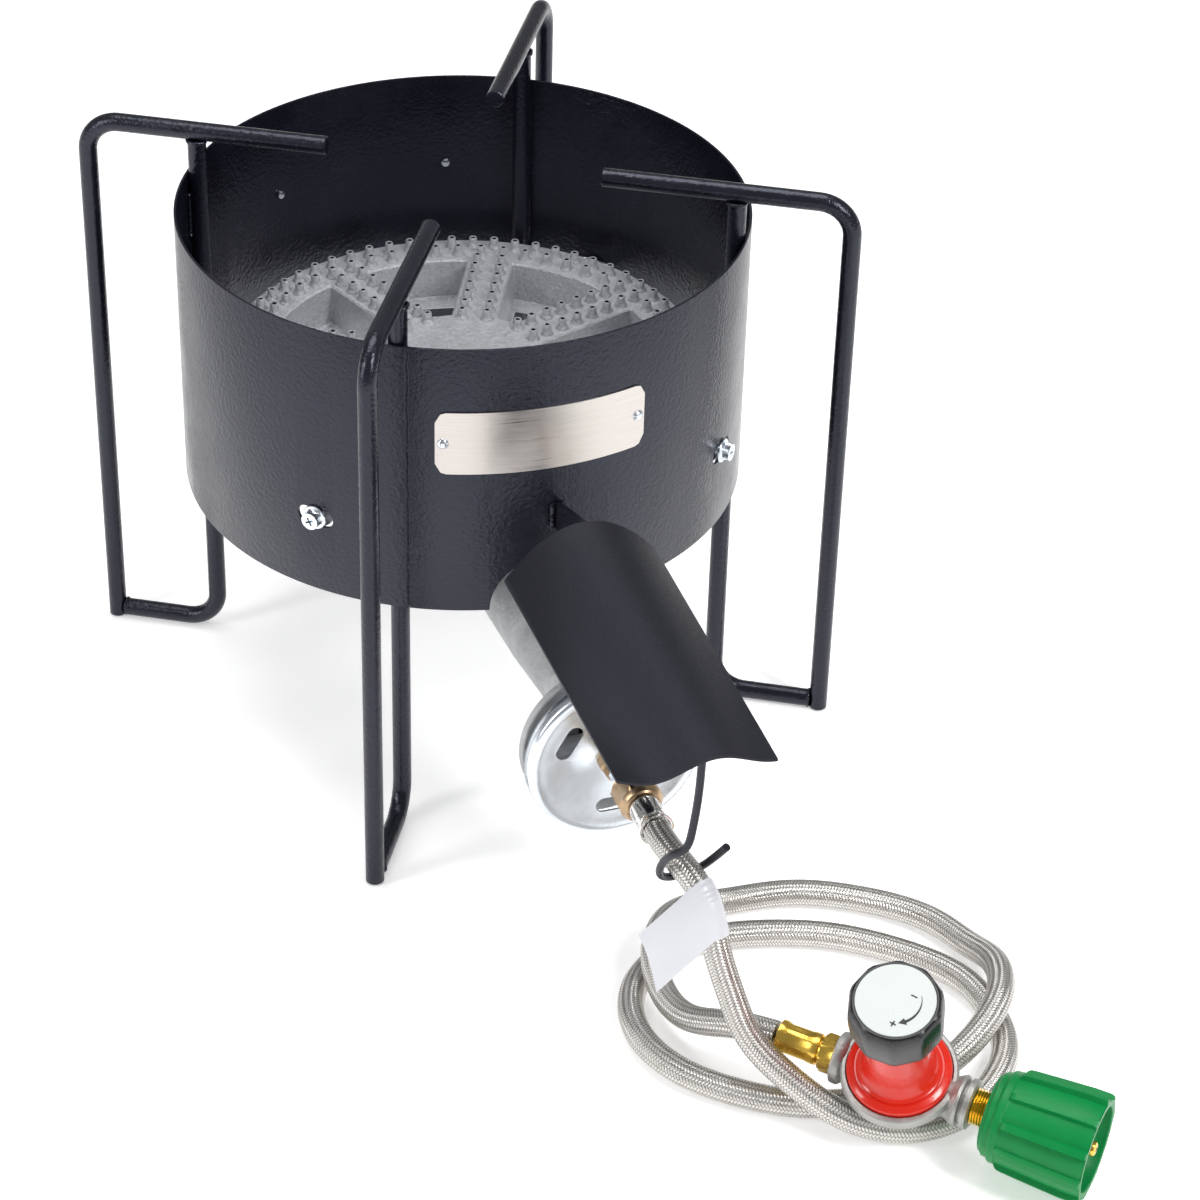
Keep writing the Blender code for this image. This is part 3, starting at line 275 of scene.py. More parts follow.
PAINT_TINT = (0.80, 0.83, 1.0, 1.0)
BLACK = surface("black_paint_look", (0.0062, 0.0066, 0.0115), 0.22,
                bumps=((420, 0.00035, 2.0), (1300, 0.0001, 3.0)), vary=0.25, rough_vary=0.07, specular=0.5)
SHIELD_BLACK = surface("shield_paint_look", (0.006, 0.0062, 0.0090), 0.47,
                       bumps=((1300, 0.0004, 4.0),), vary=0.3, vary_scale=700, rough_vary=0.08, specular=0.40)
WIRE_BLACK = surface("black_wire_look", (0.010, 0.010, 0.012), 0.38, bumps=((900, 0.00006, 3.0),))
SEAM_BLACK = surface("weld_bead_look", (0.004, 0.004, 0.006), 0.5, bumps=((420, 0.0012, 4.0),), vary=0.3)
CASTING = surface("silver_casting_look", (0.50, 0.51, 0.54), 0.40, 0.45,
                  bumps=((480, 0.0012, 4.0), (1500, 0.0006, 5.0)), vary=0.16, vary_scale=420)
ROUGH_CASTING = surface("mixer_casting_look", (0.46, 0.47, 0.48), 0.45, 0.35,
                        bumps=((260, 0.0012, 4.0), (1300, 0.0004, 5.0)), vary=0.25, vary_scale=45)
ZINC = surface("zinc_look", (0.78, 0.83, 0.89), 0.24, 1.0, bumps=((60, 0.0002, 2.0), (900, 0.00002, 3.0)),
               vary=0.07, vary_scale=22, rough_vary=0.09)
PLATE = surface("brushed_plate_look", (0.60, 0.56, 0.53), 0.34, 1.0, bumps=((9, 0.00002, 6.0),),
                vary=0.10, vary_scale=6, rough_vary=0.08, stretch=(6, 6, 260))
DULL_BRASS = surface("dull_brass_look", (0.44, 0.31, 0.19), 0.30, 1.0, bumps=((1300, 0.00004, 3.0),),
                     vary=0.18, vary_scale=120)
GOLD = surface("gold_brass_look", (0.86, 0.56, 0.10), 0.24, 1.0, bumps=((1200, 0.00002, 3.0),),
               vary=0.10, vary_scale=90)
CHROME = surface("chrome_look", (0.78, 0.77, 0.75), 0.12, 1.0, bumps=((500, 0.00001, 2.0),), vary=0.05)
DIE_CAST = surface("die_cast_look", (0.40, 0.395, 0.38), 0.42, 0.75,
                   bumps=((500, 0.0004, 4.0), (1900, 0.00012, 4.0)), vary=0.15, vary_scale=80)
RED = surface("red_enamel_look", (0.66, 0.018, 0.006), 0.22, bumps=((260, 0.00008, 2.0),),
              vary=0.06, coat=0.3, specular=0.4)
KNOB = surface("black_knob_look", (0.009, 0.009, 0.011), 0.27, bumps=((800, 0.00005, 3.0),), vary=0.2)
FILM = surface("printed_film_look", (0.56, 0.60, 0.58), 0.30, vary=0.01, bumps=((200, 0.00002, 2.0),))
INK = surface("ink_look", (0.01, 0.01, 0.01), 0.45, vary=0.05)
GREEN = surface("green_plastic_look", (0.0005, 0.22, 0.050), 0.40, bumps=((700, 0.00009, 3.0),),
                vary=0.07, specular=0.25)
RUBBER = surface("rubber_look", (0.018, 0.018, 0.018), 0.7, bumps=((900, 0.00004, 3.0),))
# Near-black painted shade for the port bores, standing in for the shadow inside them.
PORT_BORE_PAINTED_SHADE = surface("painted_bore_shade_look", (0.006, 0.006, 0.006), 0.8, vary=0.05)
for paint in (BLACK, SHIELD_BLACK, WIRE_BLACK, SEAM_BLACK):
    paint.node_tree.nodes["Principled BSDF"].inputs["Specular Tint"].default_value = PAINT_TINT
BRAID = braid_surface()
TAG = surface("tag_film", (0.70, 0.71, 0.75), 0.32, bumps=((90, 0.0003, 2.0),), vary=0.03)
FLOOR = surface("floor_look", (0.93, 0.93, 0.93), 0.6, vary=0.004, vary_scale=2.0)
FLOOR.node_tree.nodes["Principled BSDF"].inputs["Emission Color"].default_value = (1, 1, 1, 1)
FLOOR.node_tree.nodes["Principled BSDF"].inputs["Emission Strength"].default_value = FLOOR_GLOW


# ------------------------------------------------------------------ shapes

def arc(radius, count, centre=(0, 0), start=0.0, sweep=360.0):
    steps = count if sweep == 360.0 else count - 1
    angles = [math.radians(start + sweep * i / steps) for i in range(count)]
    return [(centre[0] + radius * math.cos(a), centre[1] + radius * math.sin(a)) for a in angles]


def rounded(points, reach, steps=3, closed=True):
    """The outline with every corner eased over a set-back distance. Points on the axis stay."""
    spots = [Vector((*point, 0)[:3]) for point in points]
    out = []
    count = len(spots)
    for i, spot in enumerate(spots):
        if not closed and (i in (0, count - 1) or points[i][0] == 0):
            out.append(spot)
            continue
        before, after = spots[i - 1], spots[(i + 1) % count]
        back = before - spot
        on = after - spot
        step = min(reach, back.length * 0.45, on.length * 0.45)
        first = spot + back.normalized() * step
        last = spot + on.normalized() * step
        for k in range(steps + 1):
            t = k / steps
            out.append(first * (1 - t) ** 2 + spot * 2 * t * (1 - t) + last * t * t)
    return [tuple(point) for point in out]


def lathe(bm, profile, facets, matrix, shape=None, ease=0.0, steps=3):
    """Rings of (radius, height, share) about +Z. The share is how far a ring takes the shape."""
    rows = [(*point, 0.0)[:3] for point in profile]
    closed = rows[0][0] > 0
    if ease:
        rows = rounded(rows, ease, steps, closed)
    rings = []
    for radius, height, share in rows:
        if radius < 1e-7:
            rings.append([bm.verts.new(matrix @ Vector((0, 0, height)))] * facets)
            continue
        ring = []
        for i in range(facets):
            angle = 360 * i / facets
            reach = radius * (1 + share * ((shape(angle) if shape else 1) - 1))
            turn = math.radians(angle)
            spot = Vector((reach * math.cos(turn), reach * math.sin(turn), height))
            ring.append(bm.verts.new(matrix @ spot))
        rings.append(ring)
    pairs = list(zip(rings, rings[1:]))
    if closed:
        pairs.append((rings[-1], rings[0]))
    for above, below in pairs:
        for i in range(facets):
            j = (i + 1) % facets
            corners = list(dict.fromkeys((above[i], above[j], below[j], below[i])))
            if len(corners) > 2:
                bm.faces.new(corners)


def prism(bm, levels, matrix):
    """A solid through outlines of equal length, each (height, outline)."""
    rings = []
    for height, outline in levels:
        rings.append([bm.verts.new(matrix @ Vector((x, y, height))) for x, y in outline])
    for low, high in zip(rings, rings[1:]):
        for i in range(len(low)):
            bm.faces.new((low[i - 1], low[i], high[i], high[i - 1]))
    bm.faces.new(list(reversed(rings[0])))
    bm.faces.new(rings[-1])


def frames_along(points):
    """A tangent and two crosswise directions at each point, turned as little as possible."""
    spots = [Vector(point) for point in points]
    tangents = []
    for i in range(len(spots)):
        tangents.append((spots[min(i + 1, len(spots) - 1)] - spots[max(i - 1, 0)]).normalized())
    side = tangents[0].orthogonal().normalized()
    out = []
    for spot, tangent in zip(spots, tangents):
        side = (side - tangent * side.dot(tangent)).normalized()
        out.append((spot, tangent, side, tangent.cross(side)))
    return out


def tube(bm, points, radius, facets, ease=0.0):
    """A round bar along points. The radius is one number or one for each point."""
    rings = []
    marks = frames_along(points)
    radii = radius if isinstance(radius, list) else [radius] * len(points)
    if ease:
        (p0, t0, s0, u0), (p1, t1, s1, u1) = marks[0], marks[-1]
        marks = [(p0, t0, s0, u0), (p0 + t0 * ease, t0, s0, u0), *marks[1:-1],
                 (p1 - t1 * ease, t1, s1, u1), (p1, t1, s1, u1)]
        radii = [radii[0] - ease, radii[0], *radii[1:-1], radii[-1], radii[-1] - ease]
    for (spot, _, side, up), reach in zip(marks, radii):
        ring = []
        for i in range(facets):
            turn = math.tau * i / facets
            ring.append(bm.verts.new(spot + (side * math.cos(turn) + up * math.sin(turn)) * reach))
        rings.append(ring)
    for near, far in zip(rings, rings[1:]):
        for i in range(facets):
            bm.faces.new((near[i - 1], near[i], far[i], far[i - 1]))
    bm.faces.new(list(reversed(rings[0])))
    bm.faces.new(rings[-1])


def slab(bm, front, back):
    """A sheet between two grids of points, each a list of rows."""
    sides = [[[bm.verts.new(point) for point in row] for row in grid] for grid in (front, back)]
    rows, columns = len(front), len(front[0])
    for grid in sides:
        for i in range(rows - 1):
            for j in range(columns - 1):
                bm.faces.new((grid[i][j], grid[i + 1][j], grid[i + 1][j + 1], grid[i][j + 1]))
    a, b = sides
    for i in range(rows - 1):
        for j in (0, columns - 1):
            bm.faces.new((a[i][j], a[i + 1][j], b[i + 1][j], b[i][j]))
    for j in range(columns - 1):
        for i in (0, rows - 1):
            bm.faces.new((a[i][j], a[i][j + 1], b[i][j + 1], b[i][j]))


def new_object(name, bm, material=None, angle=35):
    bmesh.ops.recalc_face_normals(bm, faces=bm.faces)
    mesh = bpy.data.meshes.new(name)
    bm.to_mesh(mesh)
    bm.free()
    mesh.shade_smooth()
    mesh.set_sharp_from_angle(angle=math.radians(angle))
    if material:
        mesh.materials.append(material)
    made = bpy.data.objects.new(name, mesh)
    bpy.context.scene.collection.objects.link(made)
    return made


def piece(name, bm, material, replaces=(), body="root", angle=35):
    made = new_object(name, bm, material, angle)
    return settle(made, replaces, body)


def settle(made, replaces=(), body="root"):
    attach(made, body)
    if replaces:
        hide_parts(*replaces)
    return made


def carve(target, cutters, angle=35):
    """Cuts the cutters out of the target and leaves it a plain mesh."""
    for cutter in cutters:
        change = target.modifiers.new(cutter.name, "BOOLEAN")
        change.object = cutter
        change.operation = "DIFFERENCE"
    bpy.context.view_layer.update()
    graph = bpy.context.evaluated_depsgraph_get()
    mesh = bpy.data.meshes.new_from_object(target.evaluated_get(graph))
    target.modifiers.clear()
    target.data = mesh
    mesh.shade_smooth()
    mesh.set_sharp_from_angle(angle=math.radians(angle))
    for cutter in cutters:
        bpy.data.objects.remove(cutter, do_unlink=True)


def cutter_round(name, radius, depth, matrix, facets=48):
    bm = bmesh.new()
    lathe(bm, [(0, depth / 2), (radius, depth / 2), (radius, -depth / 2), (0, -depth / 2)], facets, matrix)
    return new_object(name, bm)


def cutter_prism(name, levels, matrix):
    bm = bmesh.new()
    prism(bm, levels, matrix)
    return new_object(name, bm)


def slot_outline(length, width, points=12):
    reach = (length - width) / 2
    return arc(width / 2, points, (reach, 0), -90, 180) + arc(width / 2, points, (-reach, 0), 90, 180)


def hexagonal(angle):
    return math.cos(math.radians(30)) / math.cos(math.radians(angle % 60 - 30))


def bead(name, points, radius, material=BLACK):
    """A weld bead: a bar whose thickness rises and falls with each drop."""
    bm = bmesh.new()
    radii = []
    for i in range(len(points)):
        wobble = noise.noise(Vector(points[i]) * 400)
        radii.append(radius * (0.86 + 0.16 * math.sin(i * 1.9) + 0.28 * wobble))
    radii[0] = radii[-1] = radius * 0.45
    tube(bm, points, radii, 10)
    piece(name, bm, material, angle=60)


def smooth_line(route, count):
    """Evenly spaced points along a cubic curve through the route."""
    knots = np.array(route, float)
    last = len(knots) - 1
    gaps = np.sqrt(np.linalg.norm(np.diff(knots, axis=0), axis=1))
    system = np.eye(last + 1)
    right = np.zeros((last + 1, 3))
    slopes = np.diff(knots, axis=0) / gaps[:, None]
    for i in range(1, last):
        system[i, i - 1:i + 2] = gaps[i - 1], 2 * (gaps[i - 1] + gaps[i]), gaps[i]
        right[i] = 6 * (slopes[i] - slopes[i - 1])
    bends = np.linalg.solve(system, right)
    line = []
    for i in range(last):
        gap = gaps[i]
        for part in np.linspace(0, gap, 40, endpoint=False):
            rest = gap - part
            point = (bends[i] * rest**3 + bends[i + 1] * part**3) / (6 * gap)
            point = point + (knots[i] / gap - bends[i] * gap / 6) * rest
            line.append(point + (knots[i + 1] / gap - bends[i + 1] * gap / 6) * part)
    line = np.array(line + [knots[-1]])
    along = np.concatenate([[0], np.cumsum(np.linalg.norm(np.diff(line, axis=0), axis=1))])
    even = np.linspace(0, along[-1], count)
    spots = np.column_stack([np.interp(even, along, line[:, axis]) for axis in range(3)])
    return [Vector(spot) + Vector((0, DRUM_Y, 0)) for spot in spots]


# ------------------------------------------------------------------ hose

HOSE_ROUTE = [
    (0.0, -0.3205, 0.1172), (0.0, -0.3285, 0.1172), (0.0018, -0.3425, 0.1166), (0.0085, -0.3625, 0.1075),
    (0.0115, -0.376, 0.0855), (0.017, -0.386, 0.0605), (0.024, -0.397, 0.0405),
    (0.040, -0.416, 0.0245), (0.060, -0.434, 0.013), (0.086, -0.445, 0.0073),
    (0.116, -0.444, 0.0073), (0.143, -0.426, 0.0073), (0.158, -0.404, 0.0073),
    (0.162, -0.378, 0.0073), (0.158, -0.353, 0.0073), (0.143, -0.330, 0.0073),
    (0.114, -0.305, 0.0073), (0.087, -0.292, 0.0073), (0.047, -0.284, 0.0073),
    (0.014, -0.292, 0.0073), (-0.007, -0.314, 0.0073), (-0.013, -0.344, 0.0073),
    (-0.005, -0.370, 0.0073), (0.011, -0.390, 0.0073), (0.042, -0.412, 0.0073),
    (0.077, -0.420, 0.0073), (0.108, -0.416, 0.0085), (0.136, -0.407, 0.016),
    (0.162, -0.385, 0.022), (0.174, -0.353, 0.016), (0.171, -0.328, 0.0085),
    (0.160, -0.302, 0.0073), (0.127, -0.274, 0.0073), (0.096, -0.261, 0.0073),
    (0.063, -0.260, 0.009), (0.029, -0.274, 0.020), (0.009, -0.301, 0.0215),
    (0.005, -0.328, 0.017), (0.010, -0.353, 0.0205), (0.024, -0.375, 0.0315),
    (0.0398, -0.3914, 0.0346),
]
STRANDS = 16
STRAND_PITCH = 0.00085
RING_STEP = 0.00042
RING_FACETS = 96
BRAID_DEPTH = 0.00042


def make_hose():
    """The braided hose. Each ring point rises where the strand that lies on top there is."""
    rough = smooth_line(HOSE_ROUTE, 400)
    length = sum((b - a).length for a, b in zip(rough, rough[1:]))
    count = int(length / RING_STEP)
    line = smooth_line(HOSE_ROUTE, count)
    marks = frames_along(line)
    turns = np.arange(RING_FACETS) / RING_FACETS
    verts, lifts, lays = [], [], []
    for i, (spot, _, side, up) in enumerate(marks):
        far = i * length / (count - 1) / STRAND_PITCH
        a = turns * STRANDS + far / 2
        b = turns * STRANDS - far / 2
        over_a = (np.floor(a) + np.floor(b)) % 4 < 2
        across = np.where(over_a, a % 1, b % 1)
        along = np.where(over_a, (b + np.floor(a)) % 4, (a + np.floor(b)) % 4 - 2) / 2
        lift = np.sin(np.pi * across) ** 0.5 * (0.35 + 0.65 * np.sin(np.pi * along.clip(0, 1)) ** 0.7)
        reach = HOSE_RADIUS - BRAID_DEPTH + BRAID_DEPTH * 1.1 * lift
        angles = math.tau * turns
        ring = (np.outer(np.cos(angles) * reach, np.array(side))
                + np.outer(np.sin(angles) * reach, np.array(up)) + np.array(spot))
        verts.append(ring)
        lifts.append(lift)
        lays.append(far / 2)
    verts = np.concatenate(verts)
    faces, corners = [], []
    for i in range(count - 1):
        for j in range(RING_FACETS):
            k = (j + 1) % RING_FACETS
            faces.append((i * RING_FACETS + j, i * RING_FACETS + k,
                          (i + 1) * RING_FACETS + k, (i + 1) * RING_FACETS + j))
            for row, column in ((i, j), (i, j + 1), (i + 1, j + 1), (i + 1, j)):
                share = column / RING_FACETS * STRANDS
                corners.append((share + lays[row] + 1000, share - lays[row] + 1000))
    mesh = bpy.data.meshes.new("braided_hose")
    mesh.from_pydata(verts.tolist(), [], faces)
    layer = mesh.uv_layers.new(name="lays")
    layer.data.foreach_set("uv", np.array(corners, np.float32).ravel())
    # The lift is stored for the braid material, which paints shade where the wire lies low.
    attribute = mesh.attributes.new("lift", "FLOAT", "POINT")
    attribute.data.foreach_set("value", np.concatenate(lifts).astype(np.float32))
    mesh.shade_smooth()
    bm = bmesh.new()
    bm.from_mesh(mesh)
    bmesh.ops.holes_fill(bm, edges=[e for e in bm.edges if e.is_boundary], sides=0)
    bm.normal_update()
    bm.to_mesh(mesh)
    bm.free()
    mesh.materials.append(BRAID)
    hose = bpy.data.objects.new("braided_hose", mesh)
    bpy.context.scene.collection.objects.link(hose)
    settle(hose, ("hose",))
    return hose, line, length


# ------------------------------------------------------------------ windscreen and its plates

SEAM_ANGLE = -118.0
SLOT_LENGTH = 0.021
SLOT_WIDTH = 0.010


def make_windscreen():
    outer, inner = DRUM_RADIUS, DRUM_RADIUS - DRUM_WALL
    wall = [(outer, DRUM_TOP), (outer, DRUM_BOTTOM), (inner, DRUM_BOTTOM), (inner, DRUM_TOP)]
    bm = bmesh.new()
    lathe(bm, wall, 256, STAND, ease=0.0005, steps=2)
    drum = new_object("drum", bm, BLACK)
    notch = cutter_round("notch", NOTCH_RADIUS, 0.06, about(-90, DRUM_RADIUS, DRUM_BOTTOM), 64)
    cutters = [notch]
    for i, angle in enumerate(SCREW_ANGLES):
        outline = [(y, x) for x, y in slot_outline(SLOT_LENGTH, SLOT_WIDTH)]
        cutters.append(cutter_prism(f"slot_{i}", [(-0.02, outline), (0.02, outline)],
                                    about(angle, DRUM_RADIUS, SCREW_Z)))
    carve(drum, cutters)
    settle(drum, ("windscreen",))
    seam = []
    for i in range(150):
        height = DRUM_BOTTOM + 0.0012 + (DRUM_TOP - DRUM_BOTTOM - 0.0024) * i / 149
        angle = SEAM_ANGLE + 0.30 * noise.noise(Vector((0, 0, height * 160)))
        seam.append(about(angle, outer - 0.0001, height).translation)
    bead("drum_seam", seam, 0.0010, material=SEAM_BLACK)
    bead("drum_seam_edge", [p + Vector((0.0014, -0.0006, 0)) for p in seam], 0.0006)


def curved_sheet(bm, middle, length, height, corner, low_radius, sheet, columns=40):
    """A plate with round corners, bent round the drum."""
    grids = []
    for radius in (low_radius, low_radius + sheet):
        rows = []
        for i in range(columns + 1):
            along = length * (i / columns - 0.5)
            past = max(0.0, abs(along) - (length / 2 - corner))
            reach = height / 2 - corner + math.sqrt(max(0.0, corner**2 - past**2))
            angle = middle + math.degrees(along / DRUM_RADIUS)
            spots = (-1, -0.93, -0.5, 0, 0.5, 0.93, 1)
            rows.append([about(angle, radius, PLATE_Z + reach * s).translation for s in spots])
        grids.append(rows)
    slab(bm, *grids)


def make_plates():
    for name, middle in (("nameplate", -91.4), ("rating_plate", 96.5)):
        bm = bmesh.new()
        curved_sheet(bm, middle, PLATE_LENGTH, PLATE_HEIGHT, 0.006, DRUM_RADIUS + 0.0002, 0.0009)
        piece(name + "_sheet", bm, PLATE, (name,))
        for side, word in ((-1, "left"), (1, "right")):
            bm = bmesh.new()
            spot = about(middle + side * RIVET_SPREAD, DRUM_RADIUS, PLATE_Z)
            dome = [(0, 0.0029), (0.0014, 0.0027), (0.0026, 0.0020), (0.0031, 0.0010), (0.0016, 0.0009),
                    (0.0016, -0.0018), (0.0024, -0.0019), (0.0023, -0.0033), (0.0010, -0.0039), (0, -0.0040)]
            lathe(bm, dome, 24, spot)
            piece(f"{name}_rivet_{word}_head", bm, ZINC, (f"{name}_rivet_{word}",))


def make_screws():
    """Hexagon-washer screws with a cross recess, threaded into the burner's lugs."""
    for i, angle in enumerate(SCREW_ANGLES):
        spot = about(angle, DRUM_RADIUS, SCREW_Z) @ Matrix.Rotation(math.radians(17 + 40 * i), 4, "Z")
        bm = bmesh.new()
        profile = [
            (0, 0.0058, 0), (0.0034, 0.0059, 0), (0.0047, 0.0058, 0), (0.0052, 0.0050, 1),
            (0.0052, 0.0022, 1), (0.0053, 0.0016, 0), (0.0064, 0.0014, 0), (0.0067, 0.0010, 0),
            (0.0066, 0.0004, 0), (0.0030, 0.0003, 0),
        ]
        thread = [(0.0030 - 0.0004 * (k % 2), 0.0003 - 0.0005 * k, 0) for k in range(1, 38)]
        lathe(bm, profile + thread + [(0, -0.0190, 0)], 48, spot, hexagonal)
        head = new_object(f"mount_screw_{i + 1}_look", bm, ZINC, 30)
        arm, half = 0.0026, 0.00058
        cross = [(arm, -half), (arm, half), (half, half), (half, arm), (-half, arm), (-half, half),
                 (-arm, half), (-arm, -half), (-half, -half), (-half, -arm), (half, -arm), (half, -half)]
        small = [(x * 0.55, y * 0.8) for x, y in cross]
        turn = Matrix.Rotation(math.radians(11), 4, "Z")
        carve(head, [cutter_prism("recess", [(0.0036, small), (0.0064, cross)], spot @ turn)], 30)
        settle(head, (f"mount_screw_{i + 1}",))


# ------------------------------------------------------------------ legs

DRUM_WELDS = ((0.1935, 0.224), (0.258, 0.284))


def make_leg(side, angle):
    """One leg: the outer rod from the pot bar to the foot, the inner rod, and their welds."""
    turn = STAND @ Matrix.Rotation(math.radians(angle), 4, "Z")

    def spots(flat):
        return [turn @ Vector((out, 0, height)) for out, height in flat]

    upper = arc(LEG_BEND, 14, (LEG_OUTER - LEG_BEND, POT_BAR_Z - LEG_BEND), 90, -90)
    outer = [(LEG_TIP, POT_BAR_Z), *upper, (LEG_OUTER, 0.0)]
    lower = arc(LEG_BEND, 14, (LEG_INNER + LEG_BEND, ROD_RADIUS + LEG_BEND), 270, -90)
    inner = [(LEG_OUTER - ROD_RADIUS - 0.0003, ROD_RADIUS), *lower, (LEG_INNER, POT_BAR_Z - ROD_RADIUS)]
    for word, line, ease in (("outer", outer, 0.0006), ("inner", inner, 0.0002)):
        bm = bmesh.new()
        tube(bm, spots(line), ROD_RADIUS * 0.998, 32, ease)
        piece(f"leg_{side}_{word}_bar", bm, BLACK, (f"leg_{side}_{word}_rod",))
    # Welds: round the foot's butt joint, round the top of the inner rod, and down the drum's wall.
    foot = []
    top = []
    for k in range(25):
        around = math.radians(15 * k)
        reach = ROD_RADIUS * 0.98
        foot.append((LEG_OUTER - ROD_RADIUS - 0.0006, math.sin(around) * reach * 0.9,
                     max(0.0012, ROD_RADIUS + math.cos(around) * reach)))
        top.append((LEG_INNER + math.cos(around) * reach, math.sin(around) * reach,
                    POT_BAR_Z - ROD_RADIUS - 0.0004))
    bead(f"leg_{side}_foot_weld", [turn @ Vector(p) for p in foot], 0.0011)
    bead(f"leg_{side}_top_weld", [turn @ Vector(p) for p in top], 0.0013)
    wall = DRUM_RADIUS - DRUM_WALL - 0.0008
    for i, (low, high) in enumerate(DRUM_WELDS):
        for hand, word in ((-1, "a"), (1, "b")):
            line = [turn @ Vector((wall, hand * 0.0036, low + (high - low) * k / 24)) for k in range(25)]
            bead(f"leg_{side}_drum_weld_{i}_{word}", line, 0.0016)


# ------------------------------------------------------------------ burner

WINDOW_MARGIN = -0.0034
LEDGE_UNDERCUT = 0.0165
LUG_START = 0.1296
EAR_X = 0.030
EAR_Z = 0.1582
RIM_PORTS = ((0.1238, 64, 0.0), (0.1145, 56, 0.5))
SPOKE_PORTS = (0.1044, 0.0940, 0.0838, 0.0730, 0.0627, 0.0520, 0.0425)
SPOKE_PORT_SIDE = 0.0070
PORT_HEIGHT = 0.0060
PORT_FACETS = 16


def pocket_outline(margin, outer=POCKET_OUTER):
    """One pocket between two spokes, pointing along +X, with its corners rounded."""
    half_step = math.radians(180 / SPOKE_COUNT)
    away = SPOKE_HALF - margin
    far, near = outer + margin, BURNER_HUB - margin
    sweep = math.degrees(half_step - math.asin(away / far))
    hub = math.degrees(max(0.02, half_step - math.asin(min(0.99, away / near))))
    outline = arc(far, 19, (0, 0), -sweep, 2 * sweep) + arc(near, 5, (0, 0), hub, -2 * hub)
    return [(x, y) for x, y, _ in rounded(outline, 0.0045, 9)]


def make_burner():
    bm = bmesh.new()
    profile = [
        (0, BURNER_TOP), (BURNER_RADIUS - 0.0012, BURNER_TOP), (BURNER_RADIUS - 0.0003, BURNER_TOP - 0.001),
        (BURNER_RADIUS - 0.0002, BURNER_TOP - 0.004), (BURNER_RADIUS - 0.002, BURNER_BOTTOM),
        (0.031, BURNER_BOTTOM), (0.0245, BURNER_BOTTOM - 0.003), (0.024, BURNER_BOTTOM - 0.006),
        (0.024, 0.158), (0.017, 0.158), (0.017, 0.176), (0, 0.176),
    ]
    lathe(bm, profile, 192, STAND)
    head = new_object("burner_casting", bm, CASTING, 18)
    cutters = []
    for i in range(SPOKE_COUNT):
        turn = STAND @ Matrix.Rotation(math.radians(SPOKE_TURN + (i + 0.5) * 360 / SPOKE_COUNT), 4, "Z")
        levels = [
            (POCKET_FLOOR, pocket_outline(-0.0030)), (POCKET_FLOOR + 0.0012, pocket_outline(-0.0020)),
            (BURNER_TOP - 0.0010, pocket_outline(-0.0010)), (BURNER_TOP - 0.0003, pocket_outline(-0.0004)),
            (BURNER_TOP + 0.0010, pocket_outline(0.0010)),
        ]
        cutters.append(cutter_prism(f"pocket_{i}", levels, turn))
        # The ledge is undercut, so the window is wider below than at the pocket's floor.
        above = WINDOW_OUTER + 0.0005
        window = [(BURNER_BOTTOM - 0.004, pocket_outline(WINDOW_MARGIN, above + LEDGE_UNDERCUT)),
                  (POCKET_FLOOR + 0.0016, pocket_outline(WINDOW_MARGIN, above))]
        cutters.append(cutter_prism(f"window_{i}", window, turn))
    carve(head, cutters, 18)
    settle(head, ("burner_head",))
    bm = bmesh.new()
    for angle in SCREW_ANGLES:
        lathe(bm, [(0, 0.0), (0.0085, 0.0), (0.0078, 0.0030), (0.0078, 0.0190), (0, 0.0190)], 32,
              about(angle, LUG_START, SCREW_Z), ease=0.0008)
    for side in (-1, 1):
        spot = STAND @ Matrix.Translation((side * EAR_X, 0, EAR_Z))
        lathe(bm, [(0, 0.0160), (0.0092, 0.0160), (0.0086, 0), (0, 0)], 32, spot, ease=0.001)
    piece("burner_lugs", bm, CASTING)


def port_places():
    """Every flame port on the burner's top, as (radius, angle)."""
    places = []
    for radius, count, shift in RIM_PORTS:
        for k in range(count):
            places.append((radius, SPOKE_TURN + (k + shift) * 360 / count))
    for i in range(SPOKE_COUNT):
        for radius in SPOKE_PORTS:
            for side in (-SPOKE_PORT_SIDE, SPOKE_PORT_SIDE):
                out = math.sqrt(radius**2 + side**2)
                angle = SPOKE_TURN + i * 360 / SPOKE_COUNT + math.degrees(math.atan2(side, radius))
                places.append((out, angle))
    return places


def make_ports():
    """Small raised nozzles with a fillet at the foot, their bores coloured near black as painted shade."""
    bm = bmesh.new()
    for i, (radius, angle) in enumerate(port_places()):
        turn = math.radians(angle)
        jitter = noise.noise(Vector((i * 1.7, 3.1, 0.4)))
        height = PORT_HEIGHT + 0.0003 * jitter
        spot = STAND @ Matrix.Translation((radius * math.cos(turn), radius * math.sin(turn), BURNER_TOP))
        lean = Matrix.Rotation(0.05 * jitter, 4, "X")
        profile = [
            (0, height - 0.0036), (0.0013, height - 0.0035), (0.0013, height - 0.0003),
            (0.0014, height), (0.0020, height), (0.0023, height - 0.0005), (0.0025, 0.0026),
            (0.0029, 0.0011), (0.0038, 0.0001), (0.0038, -0.0008), (0, -0.0008),
        ]
        lathe(bm, profile, PORT_FACETS, spot @ lean)
    ports = piece("burner_ports", bm, CASTING, angle=50)
    ports.data.materials.append(PORT_BORE_PAINTED_SHADE)
    # Each port's faces follow its profile: the bore's floor and wall come first and take the painted shade.
    bore, port = 2 * PORT_FACETS, (len(profile) - 1) * PORT_FACETS
    for face in ports.data.polygons:
        if face.index % port < bore:
            face.material_index = 1


# ------------------------------------------------------------------ mixer, shutter and fitting

ELBOW = 0.038
FERRULE_START = 0.3020


